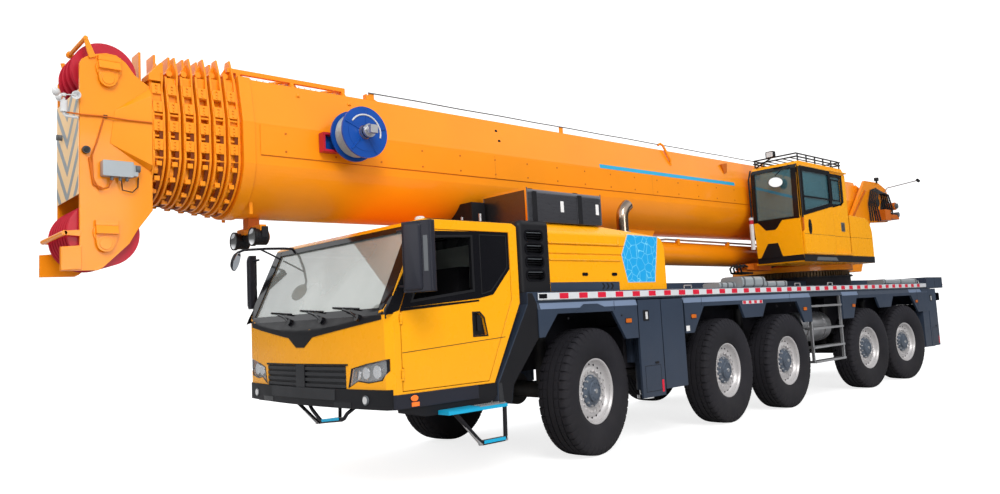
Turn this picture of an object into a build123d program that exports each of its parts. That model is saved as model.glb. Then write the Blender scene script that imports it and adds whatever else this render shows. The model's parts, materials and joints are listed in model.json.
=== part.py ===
"""Five-axle all-terrain mobile crane: carrier, superstructure and a seven-section boom.

Millimetres. +X points to the front of the carrier, +Y to its left, +Z up. The origin is on the
ground under the middle of the whole machine's length. Every piece stands where it parks: the boom
is retracted and lies forward over the carrier's cab, and the wheels hold a slight left turn.
"""

import os
from math import atan2, cos, degrees, hypot, radians, sin, tan

from build123d import *

os.makedirs("parts", exist_ok=True)

# ---------------------------------------------------------------- driving dimensions
running_gap = 6          # between a piece that moves and what it moves past
seat_gap = 0.3           # between two pieces that rest on each other

# axles and wheels
axle_1_x = 3065
axle_gaps = (2670, 1650, 2880, 1670)
tyre_radius = 680
tyre_width = 380
track_half = 1185        # from the centre plane to a tyre's middle
rim_radius = 355
rim_seat_radius = 322
rim_half_width = 138
hub_cap_radius = 118
kingpin_y = 930
kingpin_radius = 45
knuckle_radius = 140
hub_back = 20            # from a tyre's middle plane to the back of its hub
spindle_gap = 1
fork_inner = 150         # half the height between an axle's two fork ears
fork_outer = 195
pin_gap = 0.05           # radial clearance of a pin that turns
axle_tube_radius = 95
diff_radius = 185
shaft_radius = 45
strut_y = 560
strut_radius = 65
strut_top = 1460
turn_centre_x = -1965    # the wheels' axes meet abreast of this point
turn_radius = 30000
wheel_swing = 170        # room that the fully steered rear wheels need behind them

# carrier frame and bodywork
frame_half_width = 420
frame_bottom = 900
frame_top = 1640
deck_top = 1758
deck_edge_height = 90
deck_half_width = 1367
deck_front_x = 3875
skirt_half_width = 1375
skirt_thickness = 34
skirt_bevel = 66
skirt_top = 1645
skirt_bottom = 1210
arch_top = 1530
front_box_x = (2265, 1345)
rear_box_x = (-6975, -7885)
outrigger_box_bottom = 520
rear_box_top = 1870

# outrigger tubes, beams and jacks
tube_bottom = 860
tube_top = 1340
tube_half_length = 1120
beam_z = 1100
beam_width = 300
beam_height = 360
beam_side_gap = 8
beam_end_y = 1180
jack_y = 1235
jack_case_radius = 100
jack_case_bottom = 600
jack_case_top = 1540
jack_rod_radius = 70
jack_rod_top = 1440
jack_foot_radius = 100
jack_foot_bottom = 500
outrigger_cover_y = 1372
cover_length = 430
cover_gap = 12
cover_bottom = 520
cover_top = 1640

# deck and guards
deck_plate = 30
raised_front_x = 1500
raised_half_width = 640
raised_top = 1870
guard_foot = 700

# exhaust silencer on the carrier's left
silencer_y = 950
silencer_z = 1110
silencer_radius = 235

# driver's cab
nose_x = 5560
nose_bottom = 780
cab_half_width = 1365
cab_wall = 45
cab_rear_x = 4115
cab_nose_x = 5765
cab_corner_x = 5665
cab_corner_y = 1300
cab_floor = 915
cab_roof = 2440
cab_roof_front_x = 5250
door_front_x = 5540
door_margin = 20         # from the door to the cab's floor
door_foot_x = 4495
sill_z = 1655
screen_foot_z = 1590
screen_half_width = 1240
screen_margin = 60
door_window_rail = 110   # door frame beside its window
lamp_inner_y = 800
lamp_outer_y = 1330
lamp_bottom = 968
lamp_top = 1222
grille_bottom = 960
grille_top = 1165
grille_half_width = 770
grille_depth = 18
handle_x = 4640
handle_z = 1470
seat_y = 650
bumper_bottom = 790

# step below each cab door
step_x = (4470, 5165)
step_z = 700
step_foot_z = 405

# mirrors
mirror_x = 5500
mirror_arm_x = 5534      # clear of the opened door
mirror_y = 1620
mirror_z = 2070
mirror_depth = 80
mirror_width = 300
mirror_height = 600

# engine hood and what stands near it
hood_front_x = 3600
hood_rear_x = 1565
hood_half_width = 1300
hood_top = 2500
hood_wall = 20
hood_shoulder = 110
hood_fall = 95           # how far the hood's top drops towards the rear
exhaust_x = 1900
exhaust_y = 950
exhaust_radius = 72
exhaust_bend = 190
tank_x = (2645, 3815)
tank_y = (540, 1235)
tank_top = 2850
tank_edge = 45
slot_count = 4
slot_height = 105
slot_gap = 30
slot_depth = 60
intake_front_x = 4065

# slewing and superstructure
slew_x = -4195
slew_radius = 960
slew_bottom = 1760
slew_top = 2040
turntable_top = 2130
upper_plate_inner = 535
upper_plate = 50
upper_tail_x = -7725
upper_base_rear_x = -5890
boom_pin_x = -6885
boom_pin_z = 3460
boom_pin_radius = 60

# operator's cab
op_front_x = -1860
op_rear_x = -3600
op_inner_y = 620
op_outer_y = 1390
op_floor = 2150
op_roof = 3700
op_wall = 40
op_sill = 2850
op_quarter_x = -2965     # where the side glass behind the door begins
op_cover_rear_x = -4530
op_cover_top = 2930

# boom
boom_slope = 0.45        # degrees, nose down
boom_axis_z = 3160       # at the base section's mouth
boom_half_width = 500
boom_height = 1200
boom_wall = 12
section_step = 42        # each section is this much smaller on every side
collar_gap = 18
collar_length = 102
reel_radius = 240
reel_core = 185
reel_width = 210
collar_flange = 18
collar_step = 15         # each collar is this much smaller than the one behind it
rib_places = (-360, -180, 0, 180, 360)
guide_top = 790
base_mouth_x = 6515
base_tail_x = -6300
section_count = 7
head_plate_y = 350
head_plate = 25
head_front_x = 7755
head_rear_x = 7235
head_foot_x = 7885
head_bottom_z = 2050
sheave_pin_radius = 50
sheave_half_width = 25
sheave_groove = 30
sheave_sets = (
    # name, axle x, axle z, radius, places of the sheaves along the axle
    ("upper", 7548, 3665, 240, (-140, -20, 100, 220)),
    ("lower", 7570, 2345, 262, (-280, -200, -120, -40, 40, 120, 200, 280)),
)

# luffing cylinder
luff_foot_x = -4250
luff_foot_z = 2330
luff_eye_x = 620
luff_eye_z = 2360
luff_barrel_radius = 180
luff_rod_radius = 120
luff_eye_radius = 150


def save(piece, name):
    """Label a finished piece and write it as its own STEP file."""
    piece.label = name
    export_step(piece, f"parts/{name}.step")


def block(x, y, z, mode=Mode.ADD):
    """A box between two values along each axis."""
    with Locations(((x[0] + x[1]) / 2, (y[0] + y[1]) / 2, (z[0] + z[1]) / 2)):
        Box(abs(x[1] - x[0]), abs(y[1] - y[0]), abs(z[1] - z[0]), mode=mode)


def slab(points, y, mode=Mode.ADD, inset=0):
    """A side outline of (x, z) points drawn between two values of Y."""
    with BuildSketch(Plane.XZ.offset(-max(y))) as outline:
        with BuildLine():
            Polyline(*points, close=True)
        make_face()
        if inset:
            offset(amount=-inset, kind=Kind.INTERSECTION)
    extrude(to_extrude=outline.sketch, amount=abs(y[1] - y[0]), mode=mode)


def front_slab(points, x, mode=Mode.ADD, inset=0):
    """A front outline of (y, z) points drawn between two values of X."""
    with BuildSketch(Plane.YZ.offset(min(x))) as outline:
        with BuildLine():
            Polyline(*points, close=True)
        make_face()
        if inset:
            offset(amount=-inset, kind=Kind.INTERSECTION)
    extrude(to_extrude=outline.sketch, amount=abs(x[1] - x[0]), mode=mode)


def rod(start, end, radius, mode=Mode.ADD):
    """A round bar between two points."""
    along = Vector(*end) - Vector(*start)
    with BuildSketch(Plane(origin=start, z_dir=along)) as outline:
        Circle(radius)
    extrude(to_extrude=outline.sketch, amount=along.length, mode=mode)


def cross_pin(x, z, y, radius, mode=Mode.ADD):
    """A round bar that lies along Y."""
    rod((x, min(y), z), (x, max(y), z), radius, mode)


axle_x = [axle_1_x - sum(axle_gaps[:i]) for i in range(len(axle_gaps) + 1)]
steer_angle = [degrees(atan2(x - turn_centre_x, turn_radius)) for x in axle_x]
sides = (("left", 1), ("right", -1))

# ---------------------------------------------------------------- wheels
# Rows of a wheel's outline: distance from its middle plane, radius.
tyre_rows = (
    (tyre_width / 2, 480),
    (tyre_width / 2, tyre_radius - 45),
    (tyre_width / 2 - 38, tyre_radius),
)
bead_half = 110


def make_wheel():
    """A wheel about the Y axis, its outer face towards +Y: a tyre and its rim with the hub."""
    with BuildPart() as tyre:
        rows = [(-a, r) for a, r in tyre_rows] + list(reversed(tyre_rows))
        rows = [(-bead_half, rim_seat_radius + 1)] + rows + [(bead_half, rim_seat_radius + 1)]
        with BuildSketch(Plane.YZ):
            with BuildLine():
                Polyline(*rows, close=True)
            make_face()
        revolve(axis=Axis.Y)
    with BuildPart() as rim:
        with BuildSketch(Plane.YZ):
            with BuildLine():
                Polyline(
                    (hub_back, 0), (hub_back, knuckle_radius + 40), (60, 290), (-rim_half_width, 302),
                    (-rim_half_width, rim_radius), (-rim_half_width + 14, rim_radius),
                    (-bead_half - 2, rim_seat_radius), (bead_half + 2, rim_seat_radius),
                    (rim_half_width - 14, rim_radius), (rim_half_width, rim_radius),
                    (rim_half_width - 8, 316), (78, 300), (52, 200), (64, 160), (64, 132),
                    (100, hub_cap_radius), (128, hub_cap_radius - 14), (128, 0), close=True,
                )
            make_face()
        revolve(axis=Axis.Y)
    return tyre.part, rim.part


tyre_part, rim_part = make_wheel()


def make_knuckle():
    """A wheel carrier on its kingpin, which stands on the Z axis, with its spindle towards +Y."""
    spindle_end = track_half - kingpin_y + hub_back - spindle_gap
    with BuildPart() as knuckle:
        with BuildSketch(Plane.XZ.offset(-spindle_end)):
            Circle(knuckle_radius)
        extrude(amount=spindle_end - 90)
        with BuildSketch(Plane.XZ.offset(-91)):
            Circle(95)
        extrude(amount=91)
        with BuildSketch(Plane.XY.offset(-fork_inner + seat_gap)):
            Circle(75)
        extrude(amount=2 * (fork_inner - seat_gap))
        with BuildSketch(Plane.XY.offset(-fork_outer)):
            Circle(kingpin_radius)
        extrude(amount=2 * fork_outer)
    return knuckle.part


knuckle_part = make_knuckle()
for number, (x, angle) in enumerate(zip(axle_x, steer_angle), start=1):
    for side, sign in sides:
        flip = Rot(0, 0, 0 if sign > 0 else 180)
        turned = Pos(x, sign * kingpin_y, tyre_radius) * Rot(0, 0, angle) * flip
        on_spindle = turned * Pos(0, track_half - kingpin_y, 0)
        wheel = Compound([on_spindle * tyre_part, on_spindle * rim_part])
        save(wheel, f"wheel_{number}_{side}")
        save(turned * knuckle_part, f"knuckle_{number}_{side}")

# ---------------------------------------------------------------- axles, springs and shafts
with BuildPart() as axles:
    tube_end = kingpin_y - 110
    with Locations(*[(x, 0, tyre_radius) for x in axle_x]):
        Cylinder(axle_tube_radius, 2 * tube_end, rotation=(90, 0, 0))
        Cylinder(diff_radius, 300, rotation=(90, 0, 0))
    with Locations(*[(x, sign * (kingpin_y - 55), tyre_radius + up * (fork_inner + fork_outer) / 2)
                     for x in axle_x for _, sign in sides for up in (1, -1)]):
        Box(150, 240, fork_outer - fork_inner)
    with Locations(*[(x, sign * (tube_end - 15), tyre_radius) for x in axle_x for _, sign in sides]):
        Box(150, 80, 2 * fork_outer)
    for low, high in zip(axle_x[1:], axle_x[:-1]):
        with Locations(((low + high) / 2, 0, tyre_radius)):
            Cylinder(shaft_radius, high - low, rotation=(0, 90, 0))
    with Locations(*[(x, sign * strut_y, (tyre_radius + strut_top) / 2)
                     for x in axle_x for _, sign in sides]):
        Cylinder(strut_radius, strut_top - tyre_radius)
    with Locations(*[(x, sign * kingpin_y, tyre_radius) for x in axle_x for _, sign in sides]):
        Cylinder(kingpin_radius + pin_gap, 2 * fork_outer + 10, mode=Mode.SUBTRACT)
save(axles.part, "axles")

# ---------------------------------------------------------------- carrier frame
# Outrigger tubes: name, middle along X, which side its beam comes out of.
front_tubes = (("front_left", 2040, 1), ("front_right", 1570, -1))
rear_tubes = (("rear_left", -7200, 1), ("rear_right", -7655, -1))
outriggers = front_tubes + rear_tubes

with BuildPart() as chassis_frame:
    with BuildSketch(Plane.XZ.offset(-frame_half_width)):
        with BuildLine():
            Polyline(
                (rear_box_x[1], frame_bottom), (cab_rear_x - 200, frame_bottom),
                (cab_rear_x - 60, nose_bottom), (nose_x - 120, nose_bottom),
                (nose_x, nose_bottom + 90), (nose_x, cab_floor - seat_gap),
                (cab_rear_x - 30, cab_floor - seat_gap), (cab_rear_x - 30, frame_top),
                (rear_box_x[1], frame_top), close=True,
            )
        make_face()
    extrude(amount=2 * frame_half_width)
    for box_x in (front_box_x, rear_box_x):
        with Locations(((box_x[0] + box_x[1]) / 2, 0, (tube_bottom + tube_top) / 2)):
            Box(abs(box_x[0] - box_x[1]) - 20, 2 * tube_half_length, tube_top - tube_bottom)
    for x in axle_x:
        with Locations(*[(x, sign * (frame_half_width + strut_y + strut_radius) / 2, strut_top + 50)
                         for _, sign in sides]):
            Box(180, strut_y + strut_radius + 20 - frame_half_width, 100)
    with BuildSketch(Plane.XY.offset(frame_top)):
        with Locations((slew_x, 0)):
            Circle(slew_radius + 40)
    extrude(amount=slew_bottom + 170 - frame_top)
    for _, x, _ in outriggers:
        with Locations((x, 0, beam_z)):
            Box(beam_width + 2 * beam_side_gap, 4 * tube_half_length, beam_height + 2 * seat_gap,
                mode=Mode.SUBTRACT)
save(chassis_frame.part, "chassis_frame")

# ---------------------------------------------------------------- outrigger beams and their jacks
for name, x, sign in outriggers:
    with BuildPart() as beam:
        inner_y = -sign * (tube_half_length - 30)
        outer_y = sign * beam_end_y
        with Locations((x, (inner_y + outer_y) / 2, beam_z)):
            Box(beam_width, abs(outer_y - inner_y), beam_height)
        with Locations((x, sign * jack_y, (jack_case_bottom + jack_case_top) / 2)):
            Cylinder(jack_case_radius, jack_case_top - jack_case_bottom)
        with Locations((x, sign * (outrigger_cover_y - 15), (cover_bottom + cover_top) / 2)):
            Box(cover_length, 30, cover_top - cover_bottom)
        with Locations((x, sign * (jack_y + outrigger_cover_y - 20) / 2, beam_z)):
            Box(beam_width - 60, outrigger_cover_y - 20 - jack_y, beam_height - 60)
        with Locations((x, sign * jack_y, 0)):
            Cylinder(jack_rod_radius + pin_gap, 2 * (jack_case_top - 60), mode=Mode.SUBTRACT)
    save(beam.part, f"outrigger_beam_{name}")
    with BuildPart() as jack:
        with Locations((x, sign * jack_y, (jack_foot_bottom + jack_rod_top) / 2)):
            Cylinder(jack_rod_radius, jack_rod_top - jack_foot_bottom)
        with Locations((x, sign * jack_y, jack_foot_bottom + 20)):
            Cylinder(jack_foot_radius, 40)
    save(jack.part, f"outrigger_jack_{name}")

# ---------------------------------------------------------------- deck, skirts and mudguards
# Wheel arches, rear edge of the front foot to front edge of the rear foot: foot and top at each end.
arches = (
    (3795, 3595, 2715, 2500),
    (1155, 910, -1563, -1768),
    (-3493, -3664, -6090, -6399),
)
# What hangs between two wheels of a pair: top front, foot front, foot rear, top rear.
hangers = ((40, -62, -539, -659), (-4457, -4585, -5090, -5225))
hanger_foot = 1345
ladder_x = (-2016, -3112)
ladder_steps = (-2040, -3088)

with BuildPart() as bodywork:
    with BuildSketch(Plane.XY.offset(deck_top - deck_plate)):
        with Locations(((deck_front_x + rear_box_x[0]) / 2, 0)):
            Rectangle(deck_front_x - rear_box_x[0], 2 * deck_half_width)
        with Locations((slew_x, 0)):
            Circle(slew_radius + 45, mode=Mode.SUBTRACT)
    extrude(amount=deck_plate)
    with BuildSketch(Plane.XY.offset(deck_top)):
        with Locations(((raised_front_x + rear_box_x[0]) / 2, 0)):
            Rectangle(raised_front_x - rear_box_x[0], 2 * raised_half_width)
        with Locations((slew_x, 0)):
            Circle(slew_radius + 45, mode=Mode.SUBTRACT)
    extrude(amount=raised_top - deck_top)
    for _, sign in sides:
        with Locations(((deck_front_x + rear_box_x[0]) / 2, sign * (deck_half_width - 20),
                        deck_top - deck_edge_height / 2)):
            Box(deck_front_x - rear_box_x[0], 40, deck_edge_height)
        with BuildSketch(Plane.XZ.offset(-sign * skirt_half_width)):
            with BuildLine():
                Polyline(
                    (deck_front_x, skirt_top), (deck_front_x, 1300), (arches[0][0], 1300),
                    (arches[0][1], arch_top), (arches[0][2], arch_top),
                    (arches[0][3], skirt_bottom), (arches[1][0], skirt_bottom),
                    (arches[1][1], arch_top), (hangers[0][0], arch_top),
                    (hangers[0][1], hanger_foot), (hangers[0][2], hanger_foot),
                    (hangers[0][3], arch_top), (arches[1][2], arch_top),
                    (arches[1][3], skirt_bottom), (ladder_x[0], skirt_bottom),
                    (ladder_x[0], arch_top + 60), (ladder_x[1], arch_top + 60),
                    (ladder_x[1], skirt_bottom), (arches[2][0], skirt_bottom),
                    (arches[2][1], arch_top), (hangers[1][0], arch_top),
                    (hangers[1][1], hanger_foot), (hangers[1][2], hanger_foot),
                    (hangers[1][3], arch_top), (arches[2][2], arch_top),
                    (arches[2][3], skirt_bottom), (rear_box_x[0], skirt_bottom),
                    (rear_box_x[0], skirt_top), close=True,
                )
            make_face()
        extrude(amount=sign * skirt_thickness)
        with BuildSketch(Plane.YZ.offset(rear_box_x[0])) as bevel:
            with BuildLine():
                Polyline((sign * skirt_half_width, skirt_top),
                         (sign * (skirt_half_width - skirt_bevel / 3), skirt_top),
                         (sign * skirt_half_width, skirt_top - skirt_bevel), close=True)
            make_face()
        extrude(to_extrude=bevel.sketch, amount=deck_front_x - rear_box_x[0], mode=Mode.SUBTRACT)
        block((rear_box_x[0], deck_front_x), (sign * 1331, sign * 1351),
              (skirt_top - 40, deck_top - deck_edge_height + 2))
        block((front_box_x[1] - 10, front_box_x[0] + 10), (sign * 1300, sign * 1400),
              (skirt_bottom - 10, cover_top + cover_gap), Mode.SUBTRACT)
        with BuildSketch(Plane.XZ.offset(-sign * (cab_half_width - 5))):
            with BuildLine():
                Polyline(
                    (deck_front_x, 1300), (deck_front_x, deck_top),
                    (deck_front_x + 130, deck_top), (deck_front_x + 130, 1640),
                    (door_foot_x - 40, cab_floor - 20), (door_foot_x - 40, guard_foot),
                    (door_foot_x - 210, guard_foot), (door_foot_x - 250, cab_floor - 40), close=True,
                )
            make_face()
        extrude(amount=sign * 330)
        block((rear_box_x[0], axle_x[-1] - tyre_radius - wheel_swing),
              (sign * (tube_half_length - 70), sign * (skirt_half_width - 8)),
              (outrigger_box_bottom, skirt_bottom + 10))
        block(rear_box_x, (sign * frame_half_width, sign * 1120), (tube_top + 10, rear_box_top))
        block(rear_box_x, (sign * 1120, sign * deck_half_width), (cover_top + cover_gap, rear_box_top))
    block(rear_box_x, (-frame_half_width, frame_half_width), (frame_top, rear_box_top))
save(bodywork.part, "bodywork")

# ---------------------------------------------------------------- driver's cab
cab_side = (
    (door_foot_x, cab_floor), (cab_rear_x, sill_z), (cab_rear_x, cab_roof - 30),
    (cab_rear_x + 60, cab_roof), (cab_roof_front_x, cab_roof), (cab_roof_front_x + 55, cab_roof - 35),
    (cab_nose_x - 75, screen_foot_z), (cab_nose_x, screen_foot_z - 90), (cab_nose_x, cab_floor),
)
door_top = cab_roof - 90
door_edge = (
    (door_front_x, cab_floor + door_margin), (door_front_x, sill_z - 15),
    (door_front_x - 300, door_top), (cab_rear_x + 105, door_top), (cab_rear_x + 105, sill_z + 35),
    (door_foot_x + 65, cab_floor + door_margin),
)
door_window = (
    (door_front_x - door_window_rail, sill_z + 35), (door_front_x - 325, door_top - 60),
    (cab_rear_x + 575, door_top - 40), (cab_rear_x + 575, sill_z + 120),
)
door_handle = (
    (handle_x - 85, handle_z - 105), (handle_x - 50, handle_z + 60), (handle_x, handle_z + 110),
    (handle_x + 85, handle_z + 110), (handle_x + 85, handle_z - 105),
)
screen_span = ((cab_roof_front_x - 50, cab_nose_x + 100), (-screen_half_width, screen_half_width),
               (screen_foot_z + screen_margin, cab_roof - 75))
lamp_x = (cab_corner_x - 105, cab_nose_x + 100)
lamp_edge = (
    (lamp_inner_y, lamp_bottom), (lamp_inner_y + 50, lamp_top - 82), (lamp_inner_y + 260, lamp_top - 40),
    (lamp_outer_y, lamp_top), (lamp_outer_y, lamp_top - 102), (lamp_outer_y - 68, lamp_bottom + 72),
    (lamp_outer_y - 245, lamp_bottom + 48), (lamp_inner_y + 140, lamp_bottom + 62),
)
back_window = ((cab_rear_x - 60, cab_rear_x + 85), (-900, 900), (sill_z + 195, cab_roof - 140))


def cab_form(inset, bottom=None, top=None):
    """The cab's outside form, drawn in on every side; or one level band of its plan."""
    with BuildPart() as form:
        with BuildSketch() as outline:
            with BuildLine():
                Polyline((cab_corner_x, -cab_corner_y), (cab_corner_x - 60, -cab_half_width),
                         (cab_rear_x - 20, -cab_half_width), (cab_rear_x - 20, cab_half_width),
                         (cab_corner_x - 60, cab_half_width), (cab_corner_x, cab_corner_y))
                ThreePointArc((cab_corner_x, cab_corner_y), (cab_nose_x, 0),
                              (cab_corner_x, -cab_corner_y))
            make_face()
            if inset:
                offset(amount=-inset, kind=Kind.INTERSECTION)
        if bottom is None:
            extrude(to_extrude=outline.sketch, amount=3000)
            slab(cab_side, (-1500, 1500), Mode.INTERSECT, inset)
        else:
            extrude(to_extrude=outline.sketch, amount=top)
            block((0, 9000), (-2000, 2000), (-1, bottom), Mode.SUBTRACT)
    return form.part


door_hinge_z = (cab_floor + 165, sill_z - 95)
hinge_x = door_front_x - running_gap
hinge_radius = 14
hinge_pin_radius = 6
hinge_half = 30

grille_bars = 4
grille_pitch = (grille_top - grille_bottom) / grille_bars
with BuildPart() as grille_skin:
    add(cab_form(0))
    add(cab_form(grille_depth), mode=Mode.SUBTRACT)
    block((cab_corner_x - 100, cab_nose_x + 100), (-grille_half_width, grille_half_width),
          (grille_bottom, grille_top), Mode.INTERSECT)
    for bar in range(grille_bars):
        low = grille_bottom + grille_pitch * (bar + 0.35)
        block((cab_corner_x - 200, cab_nose_x + 100), (-grille_half_width, grille_half_width),
              (low, low + 0.3 * grille_pitch), Mode.SUBTRACT)

with BuildPart() as cab_shell:
    add(cab_form(0))
    add(cab_form(cab_wall), mode=Mode.SUBTRACT)
    add(grille_skin.part, mode=Mode.SUBTRACT)
    block(*screen_span, Mode.SUBTRACT)
    block(*back_window, Mode.SUBTRACT)
    for _, sign in sides:
        slab(door_edge, (sign * 1250, sign * 1450), Mode.SUBTRACT)
        front_slab([(sign * y, z) for y, z in lamp_edge], lamp_x, Mode.SUBTRACT)
        for z in door_hinge_z:
            at = (hinge_x, sign * cab_half_width)
            rod((*at, z - hinge_half - 1), (*at, z + hinge_half + 1), hinge_radius + 4, Mode.SUBTRACT)
            for low in (z - hinge_half - 21, z + hinge_half + 1):
                rod((*at, low), (*at, low + 20), hinge_radius)
            rod((*at, z - hinge_half - 5), (*at, z + hinge_half + 5), hinge_pin_radius)
save(cab_shell.part, "cab_shell")

for side, sign in sides:
    with BuildPart() as door:
        slab(door_edge, (sign * (cab_half_width - cab_wall), sign * cab_half_width),
             inset=running_gap)
        slab(door_window, (sign * 1250, sign * 1450), Mode.SUBTRACT)
        slab(door_handle, (sign * (cab_half_width - 30), sign * (cab_half_width + 20)), Mode.SUBTRACT)
        slab(((handle_x - 10, handle_z - 60), (handle_x - 10, handle_z + 80),
              (handle_x + 25, handle_z + 80), (handle_x + 25, handle_z - 60)),
             (sign * (cab_half_width - 40), sign * (cab_half_width - 8)))
        for z in door_hinge_z:
            at = (hinge_x, sign * cab_half_width)
            rod((*at, z - hinge_half - 25), (*at, z + hinge_half + 25), hinge_radius + 4,
                Mode.SUBTRACT)
            rod((*at, z - hinge_half), (*at, z + hinge_half), hinge_radius)
            block((hinge_x - 40, hinge_x - 8), (sign * 1340, sign * cab_half_width),
                  (z - hinge_half, z + hinge_half))
            rod((*at, z - 60), (*at, z + 60), hinge_pin_radius + pin_gap, Mode.SUBTRACT)
    save(door.part, f"cab_door_{side}")

with BuildPart() as lens_band:
    add(cab_form(4))
    add(cab_form(34), mode=Mode.SUBTRACT)
with BuildPart() as pane_band:
    add(cab_form(14))
    add(cab_form(26), mode=Mode.SUBTRACT)
panes = []
for span in (screen_span, back_window):
    with BuildPart() as pane:
        add(pane_band.part)
        x, y, z = [(min(s) + seat_gap, max(s) - seat_gap) for s in span]
        block(x, y, z, Mode.INTERSECT)
    panes.append(pane.part)
for _, sign in sides:
    with BuildPart() as lens:
        add(lens_band.part)
        front_slab([(sign * y, z) for y, z in lamp_edge], lamp_x, Mode.INTERSECT, seat_gap)
    panes.append(lens.part)
save(Compound(panes), "cab_glass")

with BuildPart() as cab_trim:
    add(cab_form(0, bumper_bottom, cab_floor - seat_gap))
    add(cab_form(60, bumper_bottom, cab_floor - seat_gap), mode=Mode.SUBTRACT)
    block((0, door_foot_x + 200), (-2000, 2000), (0, 1000), Mode.SUBTRACT)
mirrors = []
for side, sign in sides:
    with BuildPart() as mirror:
        with Locations(Pos(mirror_x, sign * mirror_y, mirror_z) * Rot(0, 0, sign * 20)):
            mirror_case = Box(mirror_depth, mirror_width, mirror_height)
        fillet(mirror_case.edges().filter_by(Axis.Z), 20)
        for z in (mirror_z - 0.4 * mirror_height, mirror_z + 0.4 * mirror_height):
            rod((mirror_arm_x, sign * (cab_half_width + seat_gap), z), (mirror_arm_x, sign * mirror_y, z), 12)
    mirrors.append(mirror.part)
save(Compound([cab_trim.part] + mirrors), "cab_trim")

with BuildPart() as cab_interior:
    floor_z = cab_floor + cab_wall + seat_gap
    dash_x = (door_front_x - 240, door_front_x + 20)
    inner_y = cab_half_width - cab_wall - 70
    block((door_foot_x + 65, dash_x[1] + 40), (-inner_y, inner_y), (floor_z, floor_z + 30))
    block(dash_x, (-inner_y, inner_y), (sill_z - 325, screen_foot_z - 30))
    block((dash_x[1] - 120, dash_x[1]), (-inner_y, inner_y), (floor_z, sill_z - 255))
    for y in (seat_y, -seat_y):
        block((door_foot_x + 45, door_foot_x + 505), (y - 260, y + 260), (floor_z + 20, sill_z - 275))
        slab(((door_foot_x - 95, sill_z - 325), (door_foot_x + 85, sill_z - 325),
              (door_foot_x - 15, sill_z + 395), (door_foot_x - 145, sill_z + 395)), (y - 250, y + 250))
    wheel_at = (dash_x[0] - 170, seat_y, screen_foot_z + 50)
    rod((dash_x[0] + 30, seat_y, screen_foot_z - 90), wheel_at, 30)
    with BuildSketch(Plane(origin=wheel_at, z_dir=(-0.82, 0, 0.57))) as steering_wheel:
        Circle(230)
        Circle(195, mode=Mode.SUBTRACT)
        Rectangle(440, 40)
    extrude(to_extrude=steering_wheel.sketch, amount=30)
save(cab_interior.part, "cab_interior")

# ---------------------------------------------------------------- the boom's own frame and profile
boom_frame = Pos(base_mouth_x, 0, boom_axis_z) * Rot(0, boom_slope, 0)
base_length = base_mouth_x - base_tail_x


def boom_z(x):
    """The height of the boom's axis above the ground."""
    return boom_axis_z + (base_mouth_x - x) * tan(radians(boom_slope))


def boom_bar(shrink, x, mode=Mode.ADD):
    """A length of the boom's profile, drawn in on every side, in the boom's own frame."""
    half, high = boom_half_width - shrink, boom_height / 2 - shrink
    with BuildSketch(Plane.YZ.offset(min(x))) as outline:
        with BuildLine():
            Polyline((half, -0.15 * boom_height), (half, 0.16 * boom_height), (0.84 * half, high),
                     (-0.84 * half, high), (-half, 0.16 * boom_height), (-half, -0.15 * boom_height))
            ThreePointArc((-half, -0.15 * boom_height), (0, -high), (half, -0.15 * boom_height))
        make_face()
    extrude(to_extrude=outline.sketch, amount=abs(x[1] - x[0]), mode=mode)


def in_boom(x, z):
    """A point of the machine in the boom's own frame."""
    dx, dz = x - base_mouth_x, z - boom_axis_z
    c, t = cos(radians(boom_slope)), sin(radians(boom_slope))
    return dx * c - dz * t, dx * t + dz * c


# ---------------------------------------------------------------- engine, its hood and what stands by it
def hood_form(inset):
    """The hood's outside form, with rounded shoulders and a rounded rear edge, drawn in by inset."""
    half = hood_half_width - inset
    with BuildPart() as form:
        with BuildSketch(Plane.YZ.offset(hood_rear_x + inset)) as outline:
            with BuildLine():
                Polyline((-half, deck_top - inset), (half, deck_top - inset),
                         (half, hood_top - hood_shoulder), (half - hood_shoulder, hood_top - inset),
                         (hood_shoulder - half, hood_top - inset), (-half, hood_top - hood_shoulder),
                         close=True)
            make_face()
            fillet([corner for corner in outline.vertices() if corner.Y > deck_top + 200],
                   hood_shoulder / 2)
        extrude(to_extrude=outline.sketch, amount=hood_front_x - hood_rear_x - 2 * inset)
        with BuildSketch(Plane.XZ.offset(-hood_half_width)) as side_outline:
            with BuildLine():
                Polyline((hood_rear_x, 0), (hood_rear_x, hood_top - hood_fall - 170))
                ThreePointArc((hood_rear_x, hood_top - hood_fall - 170),
                              (hood_rear_x + 50, hood_top - hood_fall - 50),
                              (hood_rear_x + 170, hood_top - hood_fall))
                Polyline((hood_rear_x + 170, hood_top - hood_fall), (hood_front_x - 900, hood_top),
                         (hood_front_x, hood_top), (hood_front_x, 0), (hood_rear_x, 0))
            make_face()
            if inset:
                offset(amount=-inset, kind=Kind.INTERSECTION)
        extrude(to_extrude=side_outline.sketch, amount=2 * hood_half_width, mode=Mode.INTERSECT)
        block((hood_rear_x - 10, hood_front_x + 10), (-hood_half_width - 10, hood_half_width + 10),
              (-10, deck_top + seat_gap - inset), Mode.SUBTRACT)
    return form.part


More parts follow.
